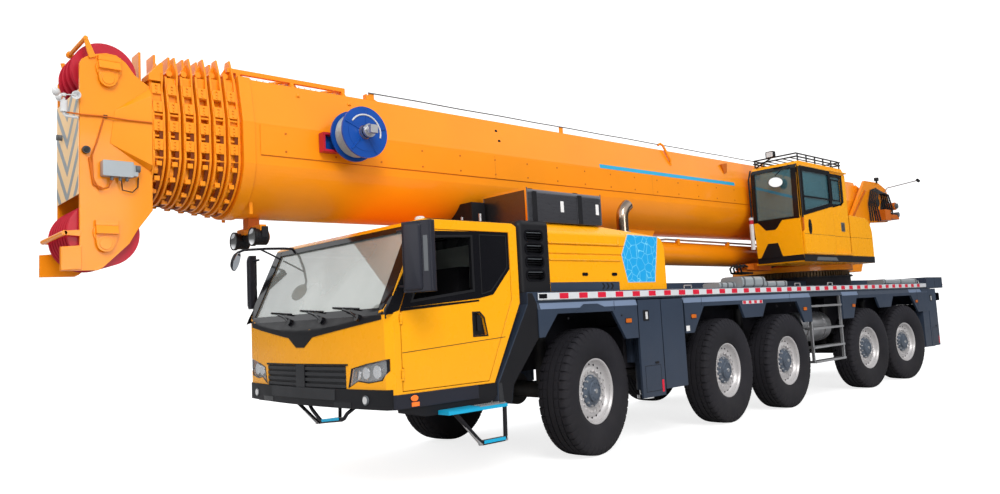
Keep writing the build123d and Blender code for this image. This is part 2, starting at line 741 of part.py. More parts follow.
with BuildPart() as engine_hood:
    add(hood_form(0))
    for _, sign in sides:
        skin = (sign * (hood_half_width - 9), sign * (hood_half_width + 10))
        for x, z in (((hood_rear_x + 560, hood_front_x + 5), (hood_top - 245, hood_top - 233)),
                     ((hood_rear_x + 560, hood_front_x + 5), (hood_top - 345, hood_top - 333)),
                     ((hood_rear_x + 560, hood_rear_x + 572), (hood_top - 345, hood_top - 120))):
            block(x, skin, z, Mode.SUBTRACT)
    add(hood_form(hood_wall), mode=Mode.SUBTRACT)
    rod((exhaust_x, exhaust_y, hood_top - 100), (exhaust_x, exhaust_y, hood_top + 150), exhaust_radius)
    with BuildSketch(Plane.XY.offset(hood_top + 150)) as pipe:
        with Locations((exhaust_x, exhaust_y)):
            Circle(exhaust_radius)
    revolve(pipe.sketch, axis=Axis((exhaust_x - exhaust_bend, 0, hood_top + 150), (0, 1, 0)),
            revolution_arc=-55)
save(engine_hood.part, "engine_hood")

with BuildPart() as engine:
    block((hood_rear_x + 185, hood_front_x - 350), (-450, 450), (deck_top + seat_gap, hood_top - 180))
with BuildPart() as silencer:
    rod((ladder_x[1] + 60, silencer_y, silencer_z), (ladder_x[0] - 60, silencer_y, silencer_z),
        silencer_radius)
    for x in (ladder_x[1] + 250, ladder_x[0] - 250):
        rod((x - 25, silencer_y, silencer_z), (x + 25, silencer_y, silencer_z), silencer_radius + 12)
        block((x - 40, x + 40), (frame_half_width + seat_gap, silencer_y), (silencer_z - 60, silencer_z + 60))
save(Compound([engine.part, silencer.part]), "engine")

tower_x = (hood_front_x + seat_gap, intake_front_x - 40)
with BuildPart() as air_intake:
    block(tower_x, (-hood_half_width, hood_half_width), (deck_top + seat_gap, hood_top))
    fillet(air_intake.edges().filter_by(Axis.Y).group_by(Axis.Z)[-1].sort_by(Axis.X)[-1], 70)
    fillet(air_intake.edges().filter_by(Axis.X).group_by(Axis.Z)[-1], 55)
    block((tower_x[0] + 30, tower_x[1] - 30), (slot_depth + 20 - hood_half_width,
          hood_half_width - slot_depth - 20), (0, hood_top - 30), Mode.SUBTRACT)
    for _, sign in sides:
        for row in range(slot_count):
            low = hood_top - 110 - row * (slot_height + slot_gap) - slot_height
            block((tower_x[0] + 90, tower_x[1] - 100),
                  (sign * (hood_half_width - slot_depth), sign * (hood_half_width + 10)),
                  (low, low + slot_height), Mode.SUBTRACT)

with BuildPart() as boom_space:
    boom_bar(-seat_gap, (-4000, 0))
with BuildPart() as boom_rest:
    block((tower_x[1] - 190, tower_x[1]), (-600, 600), (hood_top - 80, hood_top + 280))
    add(boom_frame * boom_space.part, mode=Mode.SUBTRACT)
    add(air_intake.part)
save(boom_rest.part, "air_intake")

with BuildPart() as tank_box:
    block(tank_x, tank_y, (hood_top + seat_gap, tank_top))
    fillet(tank_box.edges().filter_by(Axis.X).group_by(Axis.Z)[-1], tank_edge)
    for x in (tank_x[0] + 0.3 * (tank_x[1] - tank_x[0]), tank_x[1] - 110):
        block((x - 32, x + 32), (tank_y[1] - 60, tank_y[1] + 6), (hood_top + seat_gap, tank_top - 30))
        block((x - 32, x + 32), (tank_y[0] + 60, tank_y[1] - 60), (tank_top - 60, tank_top + 6))
save(tank_box.part, "tank_box")

# ---------------------------------------------------------------- steps
step_parts = []
for side, sign in sides:
    with BuildPart() as cab_step:
        step_outer = cab_half_width + 135
        strut = (sign * (cab_half_width - 95), sign * (cab_half_width - 75))
        block(step_x, (strut[0], sign * step_outer), (step_z, step_z + 30))
        for x in (step_x[1] - 405, step_x[1] - 45):
            block((x - 20, x + 20), strut, (step_z + 20, cab_floor - seat_gap))
        loop_y = sign * (step_outer - 20)
        for x, foot_x in ((step_x[0] + 20, step_x[0] + 30), (step_x[0] + 620, step_x[0] + 330)):
            rod((x, loop_y, step_z + 15), (foot_x, loop_y, step_foot_z), 18)
        rod((step_x[0] + 12, loop_y, step_foot_z), (step_x[0] + 348, loop_y, step_foot_z), 18)
    step_parts.append(cab_step.part)
    with BuildPart() as ladder:
        for x in (ladder_x[0] - 25, ladder_x[1] + 25):
            block((x - 15, x + 15), (sign * 1310, sign * 1350), (580, arch_top + 60 - seat_gap))
        for z in (594, 815, 1099, 1446):
            block(ladder_steps, (sign * 1230, sign * 1370), (z - 20, z + 10))
    step_parts.append(ladder.part)
save(Compound(step_parts), "boarding_steps")

# ---------------------------------------------------------------- slew ring and turntable
with BuildPart() as slew_ring:
    with BuildSketch(Plane.XY.offset(slew_bottom + 170 + seat_gap)):
        with Locations((slew_x, 0)):
            Circle(slew_radius)
            Circle(slew_radius - 180, mode=Mode.SUBTRACT)
    extrude(amount=slew_top - slew_bottom - 170 - seat_gap)
save(slew_ring.part, "slew_ring")

plate_outer = upper_plate_inner + upper_plate
upper_side = (
    (-3400, slew_top + seat_gap), (-3400, 2350), (-5200, 2700), (-6250, 3700), (-6450, 3890),
    (-7120, 3900), (-7525, 3785), (upper_tail_x + 95, 3510), (upper_tail_x, 3340), (-7440, 3090),
    (-6540, 3035), (upper_base_rear_x, slew_top + seat_gap),
)
luff_pin_radius = 70
winch_x = -7350
winch_z = 3330
winch_radius = 230
winch_shaft = 60

with BuildPart() as turntable:
    with BuildSketch(Plane.XY.offset(slew_top + seat_gap)):
        with Locations((slew_x, 0)):
            Circle(slew_radius + 90)
    extrude(amount=turntable_top - slew_top - seat_gap)
    block((-3400, upper_base_rear_x), (-upper_plate_inner, upper_plate_inner),
          (slew_top + seat_gap, turntable_top))
    for _, sign in sides:
        slab(upper_side, (sign * upper_plate_inner, sign * plate_outer))
        slab(((-4500, turntable_top - 20), (-4000, turntable_top - 20), (-4130, luff_foot_z + 130),
              (-4370, luff_foot_z + 130)), (sign * 190, sign * 250))
        cross_pin(boom_pin_x, boom_pin_z, (sign * 372, sign * (plate_outer + 25)), boom_pin_radius)
    cross_pin(luff_foot_x, luff_foot_z, (-400, 400), luff_pin_radius + pin_gap, Mode.SUBTRACT)
    cross_pin(winch_x, winch_z, (-700, 700), winch_shaft + pin_gap, Mode.SUBTRACT)
save(turntable.part, "turntable")

with BuildPart() as winch_drum:
    cross_pin(winch_x, winch_z, (-480, 480), winch_radius - 60)
    for y in ((-500, -470), (470, 500)):
        cross_pin(winch_x, winch_z, y, winch_radius)
    cross_pin(winch_x, winch_z, (-plate_outer - 20, plate_outer + 20), winch_shaft)
save(winch_drum.part, "winch_drum")

# ---------------------------------------------------------------- operator's cab
op_side = (
    (op_rear_x, op_floor), (op_rear_x, op_roof - 110), (op_rear_x + 110, op_roof),
    (op_front_x - 110, op_roof), (op_front_x - 15, op_roof - 110), (op_front_x, op_sill),
    (op_front_x - 50, op_floor),
)
op_door_top = op_roof - 110
op_doorway = ((op_front_x - 75, op_floor + 150), (op_front_x - 75, op_door_top),
              (op_quarter_x + 40, op_door_top), (op_quarter_x + 40, op_floor + 150))
op_door_window = ((op_front_x - 100, op_sill + 30), (op_front_x - 100, op_door_top - 30),
                  (op_quarter_x + 65, op_door_top - 30), (op_quarter_x + 65, op_sill + 210))
op_quarter = ((op_quarter_x, op_sill + 220), (op_quarter_x, op_door_top - 40),
              (op_rear_x + 205, op_door_top - 40), (op_rear_x + 205, op_sill + 220))
op_inner_window = ((op_front_x - 140, op_sill + 50), (op_front_x - 140, op_door_top - 30),
                   (op_rear_x + 205, op_door_top - 30), (op_rear_x + 205, op_sill + 220))
op_screen = ((op_front_x - 150, op_front_x + 50), (op_inner_y + 60, op_outer_y - 60),
             (op_sill - 30, op_door_top))
door_stand_off = 6
op_door_x = (op_quarter_x + 10, op_front_x - 45)
op_door_z = (op_floor + 120, op_door_top + 30)

with BuildPart() as operator_cab:
    block((op_cover_rear_x, op_front_x - 60), (plate_outer + seat_gap, op_outer_y),
          (turntable_top + seat_gap, op_floor + 10))
    slab(op_side, (op_inner_y, op_outer_y))
    slab(op_side, (op_inner_y + op_wall, op_outer_y - op_wall), Mode.SUBTRACT, op_wall)
    slab(op_doorway, (op_outer_y - 2 * op_wall, op_outer_y + 20), Mode.SUBTRACT)
    slab(op_quarter, (op_outer_y - 2 * op_wall, op_outer_y + 20), Mode.SUBTRACT)
    slab(op_inner_window, (op_inner_y - 20, op_inner_y + 2 * op_wall), Mode.SUBTRACT)
    block(*op_screen, Mode.SUBTRACT)
    for z in ((op_door_z[0] - 20, op_door_z[0] - seat_gap), (op_door_z[1] + seat_gap, op_door_z[1] + 20)):
        block((op_rear_x, op_door_x[1]), (op_outer_y, op_outer_y + door_stand_off + 30), z)
    cover_front_x = op_rear_x - 40
    with BuildSketch(Plane.XZ.offset(-op_outer_y)) as cover_side:
        with BuildLine():
            Polyline((op_cover_rear_x, op_floor), (op_cover_rear_x, op_cover_top - 330))
            ThreePointArc((op_cover_rear_x, op_cover_top - 330),
                          (op_cover_rear_x + 90, op_cover_top - 110),
                          (op_cover_rear_x + 330, op_cover_top - 20))
            Polyline((op_cover_rear_x + 330, op_cover_top - 20), (cover_front_x, op_cover_top),
                     (cover_front_x, op_floor), (op_cover_rear_x, op_floor))
        make_face()
    extrude(to_extrude=cover_side.sketch, amount=op_outer_y - op_inner_y)
    chair_x = op_rear_x + 400
    chair_y = (op_inner_y + 120, op_outer_y - 120)
    block((chair_x, chair_x + 550), chair_y, (op_floor, op_floor + 490))
    slab(((chair_x - 140, op_floor + 410), (chair_x + 50, op_floor + 410),
          (chair_x - 90, op_floor + 1150), (chair_x - 200, op_floor + 1150)), chair_y)
    block((op_front_x - 490, op_front_x - 140), chair_y, (op_floor, op_floor + 370))
save(operator_cab.part, "operator_cab")

op_panes = []
for outline, y in ((op_quarter, op_outer_y), (op_inner_window, op_inner_y + op_wall)):
    with BuildPart() as pane:
        slab(outline, (y - 24, y - 12), inset=seat_gap)
    op_panes.append(pane.part)
with BuildPart() as pane:
    slab(op_side, (op_inner_y + 20, op_outer_y - 20), inset=14)
    slab(op_side, (op_inner_y, op_outer_y), Mode.SUBTRACT, inset=26)
    x, y, z = [(min(s) + seat_gap, max(s) - seat_gap) for s in op_screen]
    block(x, y, z, Mode.INTERSECT)
op_panes.append(pane.part)
save(Compound(op_panes), "operator_glass")

with BuildPart() as operator_door:
    y = (op_outer_y + door_stand_off, op_outer_y + door_stand_off + 30)
    block(op_door_x, y, op_door_z)
    slab(op_door_window, (y[0] - 10, y[1] + 10), Mode.SUBTRACT)
save(operator_door.part, "operator_door")

# ---------------------------------------------------------------- luffing cylinder
luff_length = hypot(luff_eye_x - luff_foot_x, luff_eye_z - luff_foot_z)
luff_frame = Pos(luff_foot_x, 0, luff_foot_z) * Rot(
    0, -degrees(atan2(luff_eye_z - luff_foot_z, luff_eye_x - luff_foot_x)), 0)
barrel_end = luff_length - 420
ear_inner = 160

with BuildPart() as luff_barrel:
    rod((100, 0, 0), (barrel_end, 0, 0), luff_barrel_radius)
    rod((barrel_end - 90, 0, 0), (barrel_end, 0, 0), luff_barrel_radius + 18)
    cross_pin(0, 0, (-184, 184), 165)
    cross_pin(0, 0, (-270, 270), luff_pin_radius)
    rod((420, 0, 0), (barrel_end + 10, 0, 0), luff_rod_radius + pin_gap, Mode.SUBTRACT)
save(luff_frame * luff_barrel.part, "luff_barrel")

with BuildPart() as luff_rod:
    rod((450, 0, 0), (luff_length - 100, 0, 0), luff_rod_radius)
    cross_pin(luff_length, 0, (6 - ear_inner, ear_inner - 6), luff_eye_radius)
save(luff_frame * luff_rod.part, "luff_rod")

# ---------------------------------------------------------------- boom
pin_x, pin_z = in_boom(boom_pin_x, boom_pin_z)
eye_x, eye_z = in_boom(luff_eye_x, luff_eye_z)
tail_plate = 40
lamp_bar_drop = 700
wear_ring = 60           # the length of a mouth that guides the next section
with BuildPart() as boom_base:
    boom_bar(0, (-base_length, 0))
    boom_bar(-14, (-110, 0))
    block((-330, -230), (-50, 50), (-lamp_bar_drop, 10 - boom_height / 2))
    block((-310, -250), (-250, 250), (-lamp_bar_drop - 40, -lamp_bar_drop + 20))
    for y in (-200, 200):
        rod((-330, y, -lamp_bar_drop - 90), (-230, y, -lamp_bar_drop - 90), 70)
    for _, sign in sides:
        with BuildSketch(Plane.XZ.offset(-max(sign * 380, sign * 480))):
            with BuildLine():
                Polyline((-base_length + 30, -400), (-base_length + 30, 540), (pin_x + 60, pin_z + 170),
                         (pin_x - 100, pin_z + 90), (pin_x - 130, pin_z - 120), close=True)
            make_face()
            with Locations((pin_x, pin_z)):
                Circle(180)
        extrude(amount=100)
        with BuildSketch(Plane.XZ.offset(-max(sign * ear_inner, sign * (ear_inner + 60)))):
            with BuildLine():
                Polyline((eye_x - 420, -500), (eye_x - 150, eye_z), (eye_x + 150, eye_z),
                         (eye_x + 420, -500), close=True)
            make_face()
            with Locations((eye_x, eye_z)):
                Circle(150)
        extrude(amount=60)
    boom_bar(boom_wall, (tail_plate - base_length, -wear_ring), Mode.SUBTRACT)
    boom_bar(section_step - seat_gap, (-wear_ring - 10, 10), Mode.SUBTRACT)
    cross_pin(pin_x, pin_z, (-600, 600), boom_pin_radius + pin_gap, Mode.SUBTRACT)
save(boom_frame * boom_base.part, "boom_base")

section_part = []
for k in range(1, section_count):
    front = collar_gap + (k - 1) * (collar_gap + collar_length)
    tail = tail_plate + 30 * k - base_length
    with BuildPart() as section:
        boom_bar(section_step * k, (tail, front + collar_length))
        rim = collar_step * k
        with BuildPart() as ribs:
            boom_bar(rim + 6, (front, front + collar_length))
            with BuildPart(mode=Mode.INTERSECT):
                for at in rib_places:
                    block((front, front + collar_length), (at - 8, at + 8), (-800, 800))
                    block((front, front + collar_length), (-800, 800), (at - 8, at + 8))
        add(ribs.part)
        boom_bar(rim, (front, front + collar_flange))
        boom_bar(rim, (front + collar_length - collar_flange, front + collar_length))
        mouth = front + collar_length
        boom_bar(section_step * k + boom_wall, (tail + boom_wall, mouth - wear_ring), Mode.SUBTRACT)
        if k < section_count - 1:
            boom_bar(section_step * (k + 1) - seat_gap, (mouth - wear_ring - 10, mouth + 10),
                     Mode.SUBTRACT)
        block((front + collar_length - collar_flange, front + collar_length), (-90, 90),
              (boom_height / 2 - rim - 12, guide_top))
    section_part.append(boom_frame * section.part)

head_side = (
    (head_rear_x - 15, 2540), (head_rear_x - 15, 3575), (7246, 3575), (7352, 3650), (7417, 3739),
    (7488, 3788), (7564, 3792), (7639, 3771), (7707, 3738), (7740, 3712), (head_front_x, 3680),
    (head_front_x, head_bottom_z + 190), (head_foot_x, head_bottom_z + 178),
    (head_foot_x, head_bottom_z - 4), (7628, head_bottom_z), (7595, 2069), (7401, 2262), (7342, 2368),
)
with BuildPart() as head:
    add(section_part[-1])
    for _, sign in sides:
        slab(head_side, (sign * (head_plate_y - head_plate), sign * head_plate_y))
    block((head_rear_x - 15, 7640), (10 - head_plate_y, head_plate_y - 10), (2720, 3270))
    block((7700, head_front_x - 10), (10 - head_plate_y, head_plate_y - 10), (2700, 3300))
    for _, x, z, _, _ in sheave_sets:
        for _, sign in sides:
            cross_pin(x, z, (sign * (head_plate_y - head_plate), sign * (head_plate_y + 20)), 95)
            block((x - 82, x + 82), (sign * (head_plate_y - 5), sign * (head_plate_y + 40)),
                  (z + 54, z + 92))
        cross_pin(x, z, (-500, 500), sheave_pin_radius + pin_gap, Mode.SUBTRACT)
section_part[-1] = head.part
for k, piece in enumerate(section_part, start=2):
    save(piece, f"boom_section_{k}")

for name, x, z, radius, places in sheave_sets:
    # Rows of the set's outline: place along the axle, radius. Each rim has a groove for the rope.
    axle_half = head_plate_y + 20
    rows = [(-axle_half, 0), (-axle_half, sheave_pin_radius),
            (min(places) - sheave_half_width, sheave_pin_radius)]
    for y in places:
        rows += [(y - sheave_half_width, 120), (y - sheave_half_width, radius), (y, radius - sheave_groove),
                 (y + sheave_half_width, radius), (y + sheave_half_width, 120)]
    rows += [(max(places) + sheave_half_width, sheave_pin_radius), (axle_half, sheave_pin_radius),
             (axle_half, 0)]
    with BuildPart() as sheaves:
        with BuildSketch(Plane.YZ):
            with BuildLine():
                Polyline(*rows, close=True)
            make_face()
        revolve(axis=Axis.Y)
    save(Pos(x, 0, z) * sheaves.part, f"sheaves_{name}")

# ---------------------------------------------------------------- what is fastened to the base section
with BuildPart() as boom_fittings:
    reel_x, reel_z = -1030, 140
    reel_y = boom_half_width + 130
    cross_pin(reel_x, reel_z, (reel_y, reel_y + reel_width), reel_core)
    for y in (reel_y, reel_y + reel_width - 14):
        cross_pin(reel_x, reel_z, (y, y + 14), reel_radius)
    cross_pin(reel_x, reel_z, (reel_y + reel_width - 10, reel_y + reel_width + 80), 60)
    slab(((reel_x + 160, reel_z - 90), (reel_x + 160, reel_z + 40), (reel_x - 90, reel_z + 60),
          (reel_x - 90, reel_z - 120)), (boom_half_width + seat_gap, boom_half_width + 20))
    cross_pin(reel_x, reel_z, (boom_half_width + 10, reel_y + 10), 70)
with BuildPart() as top_frame:
    for y in (-330, 330):
        block((-1130, 60), (y - 20, y + 20), (660, 700))
        for x in (-1110, -560, -40):
            foot = boom_height / 2 + seat_gap + (14 if x > -110 else 0)
            block((x - 20, x + 20), (y - 20, y + 20), (foot, 680))
    for x in (-1110, -560, -40):
        block((x - 20, x + 20), (-330, 330), (660, 700))
save(boom_frame * Compound([boom_fittings.part, top_frame.part]), "boom_fittings")
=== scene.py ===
"""Looks of the five-axle mobile crane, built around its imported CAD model.

The scene and the materials are in metres. The pieces from "mesh pieces" on are drawn in millimetres.
"""
import json
import math

import bmesh
import bpy
from mathutils import Matrix, Vector


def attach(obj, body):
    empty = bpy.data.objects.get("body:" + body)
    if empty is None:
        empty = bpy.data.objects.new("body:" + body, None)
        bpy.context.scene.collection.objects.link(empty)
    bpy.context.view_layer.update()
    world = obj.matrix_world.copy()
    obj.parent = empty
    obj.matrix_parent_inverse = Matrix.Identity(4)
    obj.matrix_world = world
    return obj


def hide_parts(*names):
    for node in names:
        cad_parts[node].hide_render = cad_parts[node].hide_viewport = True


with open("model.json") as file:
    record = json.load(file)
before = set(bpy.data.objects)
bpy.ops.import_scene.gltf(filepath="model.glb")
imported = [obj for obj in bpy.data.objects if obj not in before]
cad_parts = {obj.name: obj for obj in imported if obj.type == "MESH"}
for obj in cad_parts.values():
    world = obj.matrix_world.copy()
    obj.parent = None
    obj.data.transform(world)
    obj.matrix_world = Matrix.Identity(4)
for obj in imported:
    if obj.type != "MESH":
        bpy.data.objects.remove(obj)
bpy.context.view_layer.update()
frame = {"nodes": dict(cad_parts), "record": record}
joints = {joint["name"]: joint for joint in frame["record"]["behaviour"]["joints"]}
SIDES = (("left", 1), ("right", -1))
WHITE = (1, 1, 1)
MM = 0.001


# ------------------------------------------------------------------ camera and lights
def look(yaw, pitch, roll):
    """The camera's axes from its heading, its rise and its roll, in degrees."""
    yaw, pitch, roll = (math.radians(a) for a in (yaw, pitch, roll))
    ahead = Vector((math.cos(pitch) * math.cos(yaw), math.cos(pitch) * math.sin(yaw), math.sin(pitch)))
    flat_right = ahead.cross(Vector((0, 0, 1))).normalized()
    flat_up = flat_right.cross(ahead)
    right = math.cos(roll) * flat_right + math.sin(roll) * flat_up
    up = -math.sin(roll) * flat_right + math.cos(roll) * flat_up
    return Matrix((right, up, -ahead)).transposed().to_4x4()


camera_data = bpy.data.cameras.new("camera")
camera_data.lens = 27.5
camera_data.sensor_width = 36
camera_data.shift_x = -0.0099
camera_data.shift_y = -0.0006
camera_data.clip_end = 200
camera = bpy.data.objects.new("camera", camera_data)
camera.matrix_world = Matrix.Translation((9.32, 6.827, 1.521)) @ look(-133.107, 5.282, -3.046)
bpy.context.collection.objects.link(camera)
bpy.context.scene.camera = camera
bpy.context.scene.view_settings.view_transform = "Standard"


def area_light(name, place, aim, size, power, colour=WHITE):
    """A soft square lamp that points at aim."""
    data = bpy.data.lights.new(name, "AREA")
    data.shape = "SQUARE"
    data.size = size
    data.energy = power
    data.color = colour
    lamp = bpy.data.objects.new(name, data)
    lamp.location = place
    lamp.rotation_euler = (Vector(aim) - Vector(place)).to_track_quat("-Z", "Y").to_euler()
    bpy.context.collection.objects.link(lamp)


area_light("key", (13, 15, 16), (0, 0, 1.5), 9, 2600, (1, 0.985, 0.96))
area_light("front_fill", (22, -2, 6), (4, 0, 1.5), 10, 480, (0.97, 0.98, 1))
area_light("side_fill", (4, 24, 5), (-3, 0, 1.8), 8, 1100)


# ------------------------------------------------------------------ shader nodes
def set_inputs(tree, target, values):
    """Set a node's inputs, or link those that are given a socket."""
    for name, value in values.items():
        socket = target.inputs[name]
        if isinstance(value, bpy.types.NodeSocket):
            tree.links.new(value, socket)
        else:
            socket.default_value = value


def node(tree, kind, values=None, **settings):
    """A new node with its settings and its inputs."""
    made = tree.nodes.new("ShaderNode" + kind)
    for name, value in settings.items():
        setattr(made, name, value)
    set_inputs(tree, made, values or {})
    return made


def noise_of(tree, scale, detail=4.0, stretch=None):
    """A noise in metres of the object's own frame."""
    where = node(tree, "TexCoord").outputs["Object"]
    if stretch:
        where = node(tree, "Mapping", {"Vector": where, "Scale": stretch}).outputs["Vector"]
    return node(tree, "TexNoise", {"Vector": where, "Scale": scale, "Detail": detail}).outputs["Fac"]


def ramp_of(tree, source, stops):
    """A colour between two stops of (value, colour), by a value."""
    ramp = node(tree, "ValToRGB", {"Fac": source})
    for element, (at, colour) in zip(ramp.color_ramp.elements, stops):
        element.position = at
        element.color = (*colour, 1)
    return ramp.outputs["Color"]


def tint_of(tree, source, colour, darker, lighter, ends=(0.3, 0.7)):
    """A colour that goes from a darker to a lighter shade of itself by a value."""
    shades = [[min(1, c * factor) for c in colour] for factor in (darker, lighter)]
    return ramp_of(tree, source, list(zip(ends, shades)))


def height_range(tree, low, high, to):
    """A value that goes from 0 to `to` as the height falls from high to low."""
    place = node(tree, "NewGeometry").outputs["Position"]
    height = node(tree, "SeparateXYZ", {"Vector": place}).outputs["Z"]
    fall = {"Value": height, "From Min": high, "From Max": low, "To Max": to}
    return node(tree, "MapRange", fall).outputs["Result"]


def map_to(tree, source, low, high):
    """A value from 0 to 1 brought to a range of its own."""
    return node(tree, "MapRange", {"Value": source, "To Min": low, "To Max": high}).outputs["Result"]


def mix_colour(tree, factor, under, colour):
    """A colour laid over another by a factor."""
    return node(tree, "Mix", {0: factor, 6: under, 7: (*colour, 1)}, data_type="RGBA").outputs[2]


# The sky that lights the crane is dim at the horizon and bright higher up; the camera sees plain white.
world = bpy.data.worlds.new("studio")
world.use_nodes = True
sky = world.node_tree
upward = node(sky, "SeparateXYZ", {"Vector": node(sky, "TexCoord").outputs["Generated"]})
heights = node(sky, "ValToRGB", {"Fac": upward.outputs["Z"]})
for at, level in ((0.02, 0.065), (0.18, 0.11), (0.34, 0.95), (0.6, 0.95)):
    heights.color_ramp.elements.new(at).color = (level * 0.97, level * 0.985, level, 1)
heights.color_ramp.elements[0].color = (0.065, 0.065, 0.065, 1)
heights.color_ramp.elements[-1].color = (0.42, 0.44, 0.48, 1)
seen = node(sky, "LightPath").outputs["Is Camera Ray"]
shown = mix_colour(sky, seen, heights.outputs["Color"], WHITE)
set_inputs(sky, sky.nodes["Background"], {"Color": shown, "Strength": 1.3})
bpy.context.scene.world = world


# ------------------------------------------------------------------ materials
DUST = (0.2, 0.17, 0.13)
LENS = (0.8, 0.83, 0.85)
EDGE = 0.006           # radius at which most edges catch the light


def new_material(name):
    """A node material, its tree and its shader."""
    made = bpy.data.materials.new(name)
    made.use_nodes = True
    return made, made.node_tree, made.node_tree.nodes["Principled BSDF"]


def finish_of(name, colour, rough, metal=0.0, coat=0.0, vary=0.08, scale=1.3, grain=60.0, bump=0.02,
              grime=0.0, stretch=None, spread=0.08, soft_edge=0.0):
    """A surface with slow colour change, patchy gloss, fine grain and dust that settles low down."""
    made, tree, shader = new_material(name)
    base = tint_of(tree, noise_of(tree, scale, 5.0, stretch), colour, 1 - vary, 1 + vary)
    if grime:
        dirt = {0: height_range(tree, 0.1, 1.5, grime), 1: noise_of(tree, 6.0, 8.0)}
        base = mix_colour(tree, node(tree, "Math", dirt, operation="MULTIPLY").outputs[0], base, DUST)
    gloss = map_to(tree, noise_of(tree, scale * 5, 4.0, stretch), max(0.02, rough - spread),
                   min(1, rough + spread))
    texture = noise_of(tree, grain, 6.0, stretch)
    relief = {"Strength": max(bump, 0.001) * 5, "Distance": 0.002, "Height": texture}
    if soft_edge:
        relief["Normal"] = node(tree, "Bevel", {"Radius": soft_edge}, samples=4).outputs["Normal"]
    set_inputs(tree, shader, {
        "Base Color": base, "Roughness": gloss, "Normal": node(tree, "Bump", relief).outputs["Normal"],
        "Metallic": metal, "Coat Weight": coat * 0.35, "Coat Roughness": 0.08,
        "Specular IOR Level": 0.5 if metal else 0.22})
    return made


def glass_of(name, colour, alpha, lens_below=None):
    """Thin tinted glass that lets part of the inside show; below lens_below it is clear lamp glass."""
    made, tree, shader = new_material(name)
    tint = tint_of(tree, noise_of(tree, 0.8), colour, 0.8, 1.2, (0.35, 0.65))
    if lens_below:
        low = height_range(tree, lens_below - 0.05, lens_below + 0.05, 1)
        tint = mix_colour(tree, low, tint, LENS)
        alpha = map_to(tree, low, alpha, 0.22)
    set_inputs(tree, shader, {"Base Color": tint, "Alpha": alpha, "Roughness": 0.03, "Metallic": 0.3,
                              "Specular IOR Level": 0.9, "Coat Weight": 1.0})
    return made


def glow_of(name, colour, strength):
    """A coloured lamp lens that shows a little light of its own."""
    made, tree, shader = new_material(name)
    tint = tint_of(tree, noise_of(tree, 30), colour, 0.85, 1)
    set_inputs(tree, shader, {"Base Color": tint, "Emission Color": tint, "Emission Strength": strength,
                              "Roughness": 0.25, "Coat Weight": 0.6})
    return made


def cells_of(name, ground, lines, size, width):
    """Irregular cells with thin pale lines between them."""
    made, tree, shader = new_material(name)
    where = node(tree, "TexCoord").outputs["Object"]
    cells = node(tree, "TexVoronoi", {"Vector": where, "Scale": 1 / size}, feature="DISTANCE_TO_EDGE")
    colours = ramp_of(tree, cells.outputs["Distance"], ((width, lines), (width + 0.015, ground)))
    set_inputs(tree, shader, {"Base Color": colours, "Roughness": 0.35, "Coat Weight": 0.3})
    return made


def plate_of(name, colour, pitch):
    """Raised-pattern metal plate, as on walkways."""
    made, tree, shader = new_material(name)
    where = node(tree, "TexCoord").outputs["Object"]
    studs = node(tree, "TexVoronoi", {"Vector": where, "Scale": 1 / pitch, "Randomness": 0.15})
    relief = {"Strength": 0.6, "Distance": 0.004, "Height": studs.outputs["Distance"]}
    set_inputs(tree, shader, {
        "Base Color": tint_of(tree, noise_of(tree, 3), colour, 0.85, 1.1), "Roughness": 0.35,
        "Metallic": 0.7, "Normal": node(tree, "Bump", relief, invert=True).outputs["Normal"]})
    return made


